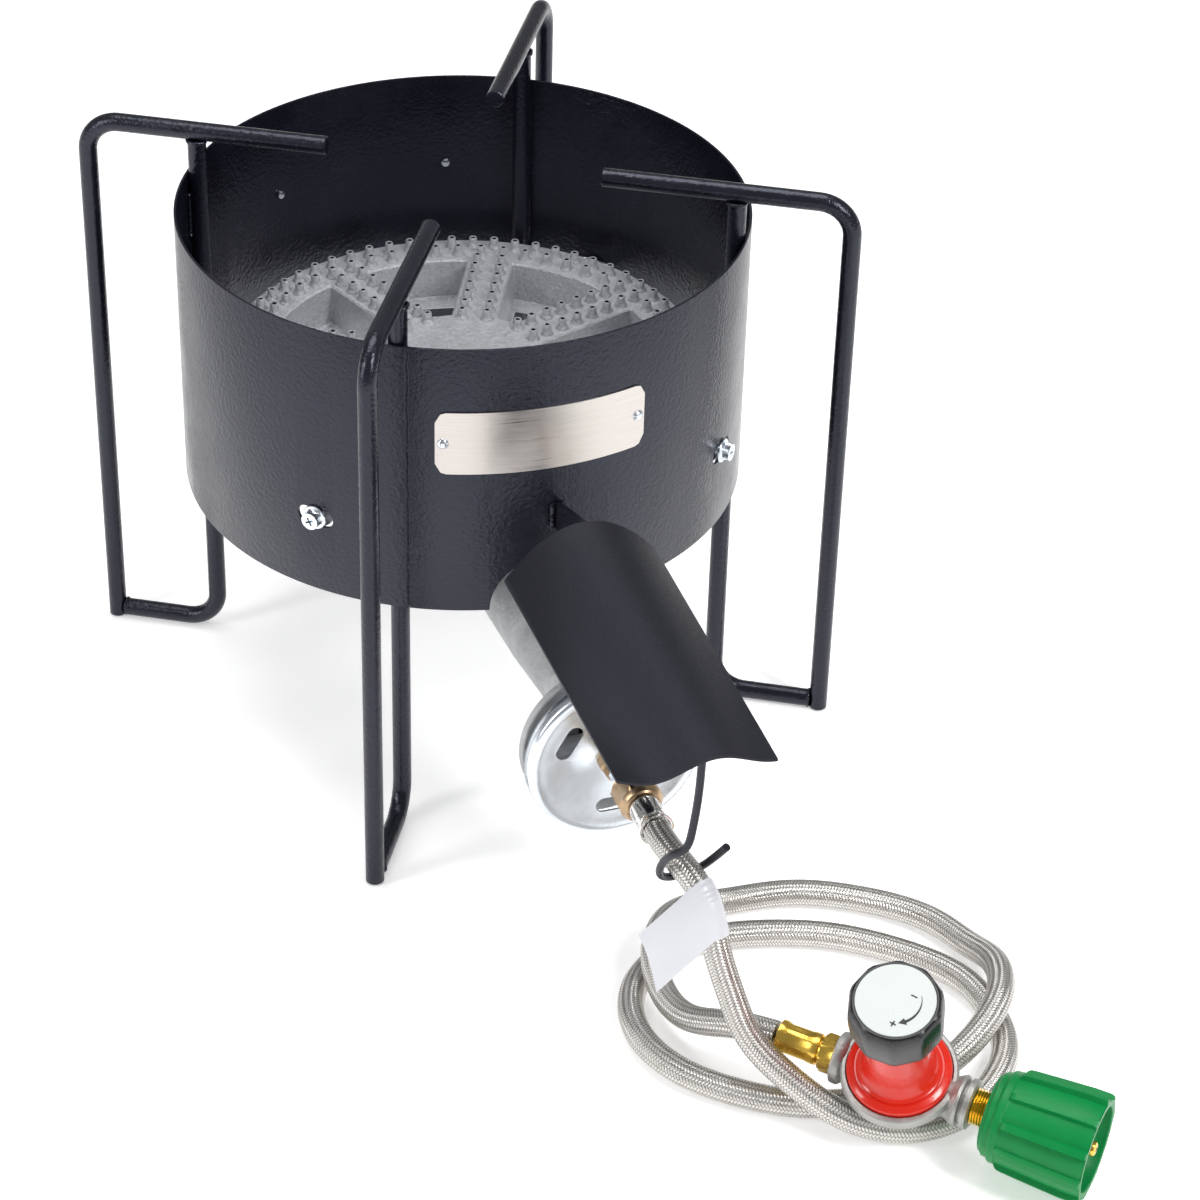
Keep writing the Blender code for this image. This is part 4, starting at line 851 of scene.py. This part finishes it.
def make_mixer():
    bm = bmesh.new()
    profile = [
        (0.0188, ELBOW), (0.0180, 0.100), (0.0160, 0.150), (0.0122, 0.200), (0.0112, 0.2300),
        (0.0125, 0.2375), (0.0180, 0.2412), (0.0300, 0.2430), (0.0415, 0.2440), (0.0430, 0.2445),
        (0.0440, 0.2444), (0.0445, 0.2438), (0.0445, 0.2402), (0.0438, 0.2396), (0.0290, 0.2392),
        (0.0190, 0.2384), (0.0150, 0.2365), (0.0140, 0.232), (0.0157, 0.210), (0.0181, 0.180),
        (0.0206, 0.150), (0.0222, 0.110), (0.0228, 0.080), (0.0232, ELBOW),
    ]
    lathe(bm, profile, 96, VENTURI)
    path = []
    for i in range(17):
        turn = math.radians(90 * i / 16)
        rise, back = ELBOW * (1 - math.cos(turn)), ELBOW * (1 - math.sin(turn))
        path.append(VENTURI @ Vector((0, rise, back)))
    start = VENTURI @ Vector((0, 0, ELBOW + 0.006))
    tube(bm, [start, *path, VENTURI @ Vector((0, 0.1577 - VENTURI_Z, 0))], 0.0234, 64)
    outline = slot_outline(0.078, 0.040, 20)
    inset = [(x * 0.985, y * 0.97) for x, y in outline]
    levels = [(0.1517, inset), (0.1525, outline), (0.1570, outline), (0.1577, inset)]
    prism(bm, levels, STAND)
    bar = slot_outline(0.086, 0.009, 10)
    prism(bm, [(0.2414, bar), (0.2446, bar), (0.2450, [(x * 0.99, y * 0.9) for x, y in bar])], VENTURI)
    boss = [(0.0064, 0.2475), (0.0090, 0.2475), (0.0095, 0.2468), (0.0098, 0.2412), (0.0064, 0.2412)]
    lathe(bm, boss, 48, VENTURI)
    piece("mixer_casting", bm, ROUGH_CASTING, ("mixer_tube",), angle=45)
    for i, side in enumerate((-1, 1)):
        bm = bmesh.new()
        profile = [(0, 0.0160, 0), (0.0025, 0.0160, 0), (0.0025, 0, 0), (0.0046, 0, 0), (0.0049, -0.0006, 1),
                   (0.0049, -0.0030, 1), (0.0044, -0.0037, 0), (0, -0.0037, 0)]
        lathe(bm, profile, 48, STAND @ Matrix.Translation((side * 0.031, 0, 0.1514)), hexagonal)
        piece(f"flange_screw_{i + 1}_look", bm, ZINC, (f"flange_screw_{i + 1}",))


def make_shutter():
    face, rim, sheet, hole = 0.2606, 0.0461, 0.0012, 0.0066
    bm = bmesh.new()
    profile = [
        (hole, face), (0.0140, face), (0.0155, face - 0.0004), (0.0385, face - 0.0004), (0.0402, face),
        (rim - 0.0028, face), (rim - 0.0012, face - 0.0004), (rim - 0.0003, face - 0.0014),
        (rim, face - 0.0030), (rim, face - 0.0074), (rim - 0.0004, face - 0.0080),
        (rim - sheet, face - 0.0078), (rim - sheet, face - 0.0034), (rim - 0.0030, face - sheet - 0.0003),
        (0.0385, face - sheet - 0.0004), (0.0155, face - sheet - 0.0004), (hole, face - sheet),
    ]
    lathe(bm, profile, 128, VENTURI)
    disc = new_object("shutter_disc", bm, ZINC)
    cutters = []
    for i, angle in enumerate((-90, 30, 150)):
        turn = VENTURI @ Matrix.Rotation(math.radians(angle), 4, "Z") @ Matrix.Translation((0.0285, 0, 0))
        outline = [(y, x) for x, y in slot_outline(0.020, 0.0085)]
        cutters.append(cutter_prism(f"slot_{i}", [(face - 0.004, outline), (face + 0.002, outline)], turn))
    carve(disc, cutters)
    settle(disc, ("air_shutter",), "air_shutter")
    bm = bmesh.new()
    nut = [(hole, 0.2668, 0), (0.0088, 0.2668, 0), (0.0103, 0.2660, 1), (0.0103, 0.2613, 1),
           (0.0095, 0.2608, 0), (hole, 0.2608, 0)]
    lathe(bm, nut, 72, VENTURI, hexagonal)
    piece("lock_nut", bm, DULL_BRASS, ("shutter_lock_nut",), "shutter_lock_nut", 25)


def threads(radius, start, end, pitch=0.0012, depth=0.0005):
    """Profile points of a screw thread's ridges, from start to end."""
    count = max(2, int(abs(end - start) / pitch * 2))
    return [(radius - depth * (k % 2), start + (end - start) * k / count, 0) for k in range(count + 1)]


def make_gas_fitting():
    bm = bmesh.new()
    stem = [(0.0025, 0.2912, 0), (0.0048, 0.2912, 0), *threads(0.0057, 0.2895, 0.2795),
            (0.0074, 0.2792, 0), (0.0083, 0.2784, 1), (0.0083, 0.2728, 1), (0.0074, 0.2720, 0),
            *threads(0.0062, 0.2718, 0.2380), (0.0055, 0.2360, 0), (0.0025, 0.2360, 0)]
    lathe(bm, stem, 48, VENTURI, hexagonal)
    piece("gas_stem", bm, ZINC, ("orifice_fitting",), angle=25)
    bm = bmesh.new()
    jet = [(0.0008, 0.2357, 0), (0.0050, 0.2357, 0), (0.0056, 0.2350, 1), (0.0056, 0.2310, 1),
           (0.0030, 0.2297, 0), (0.0008, 0.2297, 0)]
    lathe(bm, jet, 36, VENTURI, hexagonal)
    piece("jet", bm, DULL_BRASS, ("orifice_jet",))
    bm = bmesh.new()
    nut = [(0.0060, FERRULE_START - 0.0004, 0), (0.0086, FERRULE_START - 0.0004, 0), (0.0096, 0.3008, 0),
           (0.0104, 0.2990, 0), (0.0112, 0.2982, 0), (0.0122, 0.2966, 1), (0.0122, 0.2866, 1),
           (0.0112, 0.2854, 0), (0.0060, 0.2854, 0)]
    lathe(bm, nut, 96, VENTURI, hexagonal)
    piece("swivel_nut", bm, DULL_BRASS, ("flare_nut",), angle=25)
    bm = bmesh.new()
    ferrule = [(0.0030, 0.3156), (0.0078, 0.3156), (0.0078, 0.3130), (0.0080, 0.3120), (0.0080, 0.3034),
               (0.0077, FERRULE_START), (0.0030, FERRULE_START)]
    lathe(bm, ferrule, 64, VENTURI, ease=0.0003)
    piece("chrome_ferrule", bm, CHROME, ("hose_ferrule",))
    bm = bmesh.new()
    collar = [(0.0074, 0.3204), (0.0090, 0.3204), (0.0091, 0.3196), (0.0084, 0.3180), (0.0079, 0.3157),
              (0.0060, 0.3157), (0.0072, 0.3190)]
    lathe(bm, collar, 64, VENTURI, ease=0.0002)
    piece("flared_collar", bm, CHROME, ("hose_collar",))


# ------------------------------------------------------------------ heat shield and hook

BRACKET_X = 0.003
HOOK_ROUTE = [
    (0.004, -0.3650, 0.1935), (0.003, -0.3650, 0.170), (0.001, -0.3645, 0.150),
    (-0.0015, -0.3635, 0.139), (-0.0055, -0.3600, 0.1335), (-0.0085, -0.3530, 0.1240),
    (-0.0075, -0.3475, 0.1120), (0.0010, -0.3440, 0.1062), (0.0105, -0.3450, 0.1085),
    (0.0155, -0.3510, 0.1170), (0.0215, -0.3590, 0.1310),
]
HOOK_WIRE = 0.0020


def shield_height(x, along):
    arch = 0.193 + 0.027 * max(0.0, 1 - ((x - 0.001) / 0.041) ** 2)
    wave = 0.1915 + 0.004 * math.sin(math.tau * (x + 0.006) / 0.062)
    return arch + (wave - arch) * along


def make_shield():
    columns, rows = 56, 40
    grids = []
    for below in (0.0, 0.0015):
        grid = []
        for i in range(rows + 1):
            along = i / rows
            line = []
            for j in range(columns + 1):
                x = SHIELD_HALF_WIDTH * (2 * j / columns - 1)
                y = DRUM_Y - (SHIELD_START + (SHIELD_END - SHIELD_START) * along)
                height = shield_height(x, along) - below
                spot = math.hypot(x - BRACKET_X, (along - 0.17) * 0.17)
                height -= 0.0006 * math.exp(-((spot / 0.004) ** 2))
                line.append((x, y, height))
            grid.append(line)
        grids.append(grid)
    bm = bmesh.new()
    slab(bm, *grids)
    piece("shield_sheet", bm, SHIELD_BLACK, ("heat_shield",), angle=50)
    side = DRUM_RADIUS + 0.0001
    outline = [(side, 0.187), (SHIELD_START, 0.197), (0.232, 0.205), (0.232, 0.2126),
               (SHIELD_START, 0.2178), (side, 0.202)]
    outline = [(x, y) for x, y, _ in rounded(outline, 0.0015, 3)]
    turn = STAND @ Matrix.Translation((BRACKET_X + 0.0015, 0, 0)) @ Matrix.Rotation(math.radians(-90), 4, "Z")
    turn = turn @ Matrix.Rotation(math.radians(90), 4, "X")
    bm = bmesh.new()
    prism(bm, [(0, outline), (0.003, outline)], turn)
    piece("shield_tab", bm, BLACK, ("shield_bracket",))
    for hand, word in ((-1, "a"), (1, "b")):
        line = [(BRACKET_X + hand * 0.0026, DRUM_Y - DRUM_RADIUS - 0.0012, 0.1878 + 0.0140 * k / 20)
                for k in range(21)]
        bead(f"tab_weld_{word}", line, 0.0020)
        line = [(BRACKET_X + hand * 0.0022, DRUM_Y - 0.2035 - 0.024 * k / 30, 0.2166 - 0.0039 * k / 30)
                for k in range(31)]
        bead(f"shield_weld_{word}", line, 0.0012)
    bm = bmesh.new()
    tube(bm, smooth_line(HOOK_ROUTE, 120), HOOK_WIRE, 20, 0.0003)
    piece("wire_hook", bm, WIRE_BLACK, ("hose_hook",))
    top = Vector(HOOK_ROUTE[0]) + Vector((0, DRUM_Y, -0.0004))
    line = [top + Vector((0.0026 * math.cos(k * 0.42), 0.0026 * math.sin(k * 0.42), 0)) for k in range(16)]
    bead("hook_weld", line, 0.0010)


# ------------------------------------------------------------------ tag on the hose

TAG_FROM = 0.041
TAG_WIDTH = 0.025
TAG_FLAG = 0.034
TAG_STATIONS = 36


def make_tag():
    """A strip of white film wrapped round the hose, its two ends stuck together as a flag."""
    line = smooth_line(HOSE_ROUTE, 1200)
    step = sum((b - a).length for a, b in zip(line, line[1:])) / 1199
    picks = [round((TAG_FROM + TAG_WIDTH * i / TAG_STATIONS) / step) for i in range(TAG_STATIONS + 1)]
    middle = picks[TAG_STATIONS // 2]
    along = (line[middle + 1] - line[middle - 1]).normalized()
    out = Vector((-0.945, 0.063, -0.317))
    out = (out - along * out.dot(along)).normalized()
    flag = out + along * 0.47
    face = along.cross(out)
    grids = []
    for reach in (HOSE_RADIUS + 0.0003, HOSE_RADIUS + 0.0007):
        grid = []
        for s, pick in enumerate(picks):
            ahead = (line[pick + 1] - line[pick - 1]).normalized()
            level = (out - ahead * out.dot(ahead)).normalized()
            across = ahead.cross(level)
            row = []
            for turn in range(-66, 271, 12):
                angle = math.radians(turn)
                row.append(line[pick] + (level * math.cos(angle) + across * math.sin(angle)) * reach)
            edge = row[-1]
            for k in range(1, 17):
                share = k / 16
                curl = 0.0016 * math.sin(share * 2.4) * (s / TAG_STATIONS - 0.3)
                row.append(edge + flag * TAG_FLAG * share + face * curl)
            grid.append(row)
        grids.append(grid)
    bm = bmesh.new()
    slab(bm, *grids)
    return piece("film_tag", bm, TAG, ("hose_tag",), angle=50)


# ------------------------------------------------------------------ regulator

def make_outlet():
    bm = bmesh.new()

    def crimped(angle):
        return 1 - 0.045 * (0.5 - 0.5 * math.cos(math.radians(angle * 8))) ** 2

    profile = [
        (0.0030, -0.0413, 0), (0.0066, -0.0413, 0), (0.0078, -0.0418, 0), (0.0080, -0.0430, 0),
        (0.0080, -0.0455, 0.2), (0.0077, -0.0470, 1), (0.0076, -0.0575, 1), (0.0079, -0.0590, 0.2),
        (0.0084, -0.0605, 0), (0.0084, -0.0626, 0), (0.0078, -0.0630, 0), (0.0066, -0.0632, 0),
        (0.0030, -0.0632, 0),
    ]
    lathe(bm, profile, 96, TO_TANK, crimped)
    piece("crimped_ferrule", bm, GOLD, ("regulator_ferrule",), angle=40)
    bm = bmesh.new()
    profile = [
        (0.0030, -0.0250, 0), (0.0058, -0.0250, 0), (0.0062, -0.0333, 0), (0.0088, -0.0334, 0),
        (0.0098, -0.0341, 1), (0.0098, -0.0392, 1), (0.0088, -0.0400, 0), (0.0070, -0.0402, 0),
        (0.0068, -0.0413, 0), (0.0030, -0.0413, 0),
    ]
    lathe(bm, profile, 72, TO_TANK, hexagonal)
    piece("outlet_hex", bm, GOLD, ("outlet_fitting",), angle=25)


def make_case():
    """The cast case: a dish with a raised rim, and two bosses that flow into it."""
    bm = bmesh.new()
    profile = [
        (0, 0.0060), (0.0245, 0.0060), (0.0257, 0.0066), (0.0257, 0.0096), (0.0261, 0.0101),
        (0.0276, 0.0101), (0.0284, 0.0094), (0.0286, 0.0080), (0.0285, 0.0036), (0.0272, 0.0016),
        (0.0222, -0.0030), (0.0150, -0.0095), (0.0090, -0.0122), (0.0060, -0.0125), (0, -0.0125),
    ]
    lathe(bm, profile, 128, REGULATOR)
    left = [(0.0062, -0.0330), (0.0116, -0.0330), (0.0128, -0.0322), (0.0130, -0.0310), (0.0130, -0.0290),
            (0.0118, -0.0275), (0.0100, -0.0265), (0.0092, -0.0190), (0.0062, -0.0190)]
    right = [(0.0062, 0.0380), (0.0112, 0.0380), (0.0124, 0.0374), (0.0126, 0.0362), (0.0126, 0.0346),
             (0.0106, 0.0340), (0.0104, 0.0330), (0.0126, 0.0324), (0.0130, 0.0310), (0.0118, 0.0285),
             (0.0106, 0.0265), (0.0104, 0.0190), (0.0062, 0.0190)]
    lathe(bm, left, 96, TO_TANK)
    lathe(bm, list(reversed(right)), 96, TO_TANK)
    piece("regulator_case", bm, DIE_CAST, ("regulator_body",), angle=40)


def make_bonnet():
    bm = bmesh.new()
    profile = [
        (0.0045, 0.0520), (0.0150, 0.0520), (0.0158, 0.0514), (0.0160, 0.0500), (0.0162, 0.0300),
        (0.0166, 0.0230), (0.0174, 0.0180), (0.0186, 0.0152), (0.0200, 0.0140), (0.0206, 0.0137),
        (0.0208, 0.0131), (0.0216, 0.0131), (0.0218, 0.0134), (0.0244, 0.0127), (0.0252, 0.0120),
        (0.0254, 0.0112), (0.0254, 0.0090), (0.0215, 0.0090), (0.0125, 0.0190), (0.0125, 0.0480),
        (0.0045, 0.0480),
    ]
    lathe(bm, profile, 128, REGULATOR)
    piece("bonnet_shell", bm, RED, ("bonnet",), angle=40)


def knob_shape(angle):
    """Ten shallow flats with rounded ridges between them."""
    part = (angle / 36) % 1 - 0.5
    flat = math.cos(math.radians(18)) / math.cos(math.radians(36 * part))
    return min(1.0, flat * 1.012) if abs(part) < 0.44 else 0.994


def make_knob():
    bm = bmesh.new()
    profile = [
        (0, 0.0776, 0), (0.0192, 0.0776, 0), (0.0194, 0.0781, 0), (0.0202, 0.0781, 0.2),
        (0.0212, 0.0776, 0.7), (0.0222, 0.0764, 1), (0.0229, 0.0740, 1), (0.0232, 0.0690, 1),
        (0.0231, 0.0620, 1), (0.0226, 0.0570, 1), (0.0221, 0.0552, 0.9), (0.0210, 0.0541, 0.6),
        (0.0160, 0.0541, 0), (0.0044, 0.0541, 0), (0.0044, 0.0680, 0), (0, 0.0680, 0),
    ]
    lathe(bm, profile, 120, REGULATOR, knob_shape)
    piece("knob", bm, KNOB, ("adjusting_knob",), "adjusting_knob", 22)
    bm = bmesh.new()
    lathe(bm, [(0, 0.0786), (0.0188, 0.0786), (0.0190, 0.0784), (0.0190, 0.0776), (0, 0.0776)], 96, REGULATOR)
    piece("knob_film", bm, FILM, ("knob_disc",), "adjusting_knob")
    make_marks()


MARK_TURN = -8.0
MARK_HEIGHT = 0.07862
MARK_THICK = 0.00006
ARROW_RADIUS = 0.0122


def make_marks():
    """Generic print: plus, minus and a tapering arc arrow."""
    bm = bmesh.new()

    def flat(outline):
        levels = [(MARK_HEIGHT - MARK_THICK, outline), (MARK_HEIGHT + MARK_THICK, outline)]
        prism(bm, levels, REGULATOR)

    def spot(radius, angle):
        return radius * math.cos(math.radians(angle)), radius * math.sin(math.radians(angle))

    steps = 24
    outer, inner = [], []
    for k in range(steps + 1):
        share = k / steps
        angle = MARK_TURN + 40 - 80 * share
        width = 0.0002 + 0.0013 * share
        outer.append(spot(ARROW_RADIUS + width / 2, angle))
        inner.append(spot(ARROW_RADIUS - width / 2, angle))
    flat(outer + inner[::-1])
    left, right = spot(ARROW_RADIUS - 0.0019, MARK_TURN - 38), spot(ARROW_RADIUS + 0.0019, MARK_TURN - 38)
    flat([spot(ARROW_RADIUS, MARK_TURN - 55), left, right])
    for angle, out, both in ((MARK_TURN + 42, 0.0088, False), (MARK_TURN - 66, 0.0124, True)):
        x, y = spot(out, angle)
        long, thin = 0.0016, 0.00038
        turn = math.radians(MARK_TURN)
        for upright in ((False, True) if both else (False,)):
            a, b = (thin, long) if upright else (long, thin)
            corners = [(-a, -b), (a, -b), (a, b), (-a, b)]
            flat([(x + u * math.cos(turn) - v * math.sin(turn), y + u * math.sin(turn) + v * math.cos(turn))
                  for u, v in corners])
    piece("knob_marks", bm, INK, (), "adjusting_knob")


def make_inner_parts():
    """What the bonnet and the knob hide."""
    names = ("diaphragm", "diaphragm_plate", "valve_poppet", "regulator_spring", "spring_button",
             "adjusting_screw")
    looks = (RUBBER, ZINC, GOLD, CHROME, ZINC, ZINC)
    for name, look in zip(names, looks):
        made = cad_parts[name]
        made.data.materials.clear()
        made.data.materials.append(look)


def rib_shape(angle):
    """Ten rounded grip ribs."""
    part = (angle / 36 + 0.5) % 1 - 0.5
    edge = max(0.0, min(1.0, (0.150 - abs(part)) / 0.030))
    return 0.905 + 0.095 * edge * edge * (3 - 2 * edge)


def make_connector():
    bm = bmesh.new()
    nipple = [
        (0.0030, 0.0640, 0), (0.0110, 0.0640, 0), (0.0118, 0.0632, 0), (0.0118, 0.0623, 0),
        (0.0080, 0.0623, 0), (0.0080, 0.0470, 0), *threads(0.0090, 0.0462, 0.0384, 0.0013, 0.0006),
        (0.0058, 0.0380, 0), (0.0058, 0.0270, 0), (0.0030, 0.0270, 0),
    ]
    lathe(bm, nipple, 64, TO_TANK)
    piece("threaded_nipple", bm, GOLD, ("inlet_nipple",), angle=25)
    bm = bmesh.new()
    probe = [
        (0.0012, 0.0970), (0.0012, 0.0995), (0.0026, 0.0995), (0.0035, 0.0989), (0.0039, 0.0976),
        (0.0039, 0.0945), (0.0032, 0.0940), (0.0032, 0.0933), (0.0039, 0.0928), (0.0039, 0.0800),
        (0.0070, 0.0745), (0.0070, 0.0643), (0.0012, 0.0643),
    ]
    lathe(bm, list(reversed(probe)), 48, TO_TANK)
    piece("probe", bm, GOLD, ("inlet_probe",))
    bm = bmesh.new()
    seal = [(0.0041, 0.0880), (0.0050, 0.0880), (0.0054, 0.0874), (0.0054, 0.0862), (0.0050, 0.0856),
            (0.0041, 0.0856)]
    lathe(bm, seal, 48, TO_TANK, ease=0.0003)
    piece("probe_ring", bm, RUBBER, ("probe_seal",))
    bm = bmesh.new()
    profile = [
        (0.0215, 0.0995, 0), (0.0220, 0.1000, 0), (0.0256, 0.1000, 0.3), (0.0268, 0.0996, 0.9),
        (0.0274, 0.0980, 1), (0.0274, 0.0900, 1), (0.0268, 0.0800, 1), (0.0262, 0.0700, 1),
        (0.0255, 0.0600, 1), (0.0252, 0.0582, 1), (0.0244, 0.0570, 0.7), (0.0232, 0.0563, 0),
        (0.0230, 0.0556, 0), (0.0229, 0.0530, 0), (0.0222, 0.0520, 0), (0.0214, 0.0516, 0),
        (0.0212, 0.0508, 0), (0.0210, 0.0490, 0), (0.0200, 0.0482, 0), (0.0194, 0.0478, 0),
        (0.0192, 0.0470, 0), (0.0180, 0.0464, 0), (0.0084, 0.0464, 0), (0.0084, 0.0620, 0),
        (0.0205, 0.0620, 0), (0.0212, 0.0640, 0),
    ]
    inside = []
    for k in range(11):
        inside.append((0.0212 - 0.0007 * (k % 2), 0.0780 + 0.0018 * k, 0))
    lathe(bm, profile + inside, 200, TO_TANK, rib_shape)
    piece("handwheel", bm, GREEN, ("handwheel_nut",), "handwheel_nut", 28)


# ------------------------------------------------------------------ everything

make_camera()
make_light()
make_floor(FLOOR)
HOSE, HOSE_LINE, HOSE_LENGTH = make_hose()
TAG_PIECE = make_tag()
make_windscreen()
make_plates()
make_screws()
for leg_side, leg_angle in LEG_ANGLES.items():
    make_leg(leg_side, leg_angle)
make_burner()
make_ports()
make_mixer()
make_shutter()
make_gas_fitting()
make_shield()
make_outlet()
make_case()
make_bonnet()
make_knob()
make_inner_parts()
make_connector()
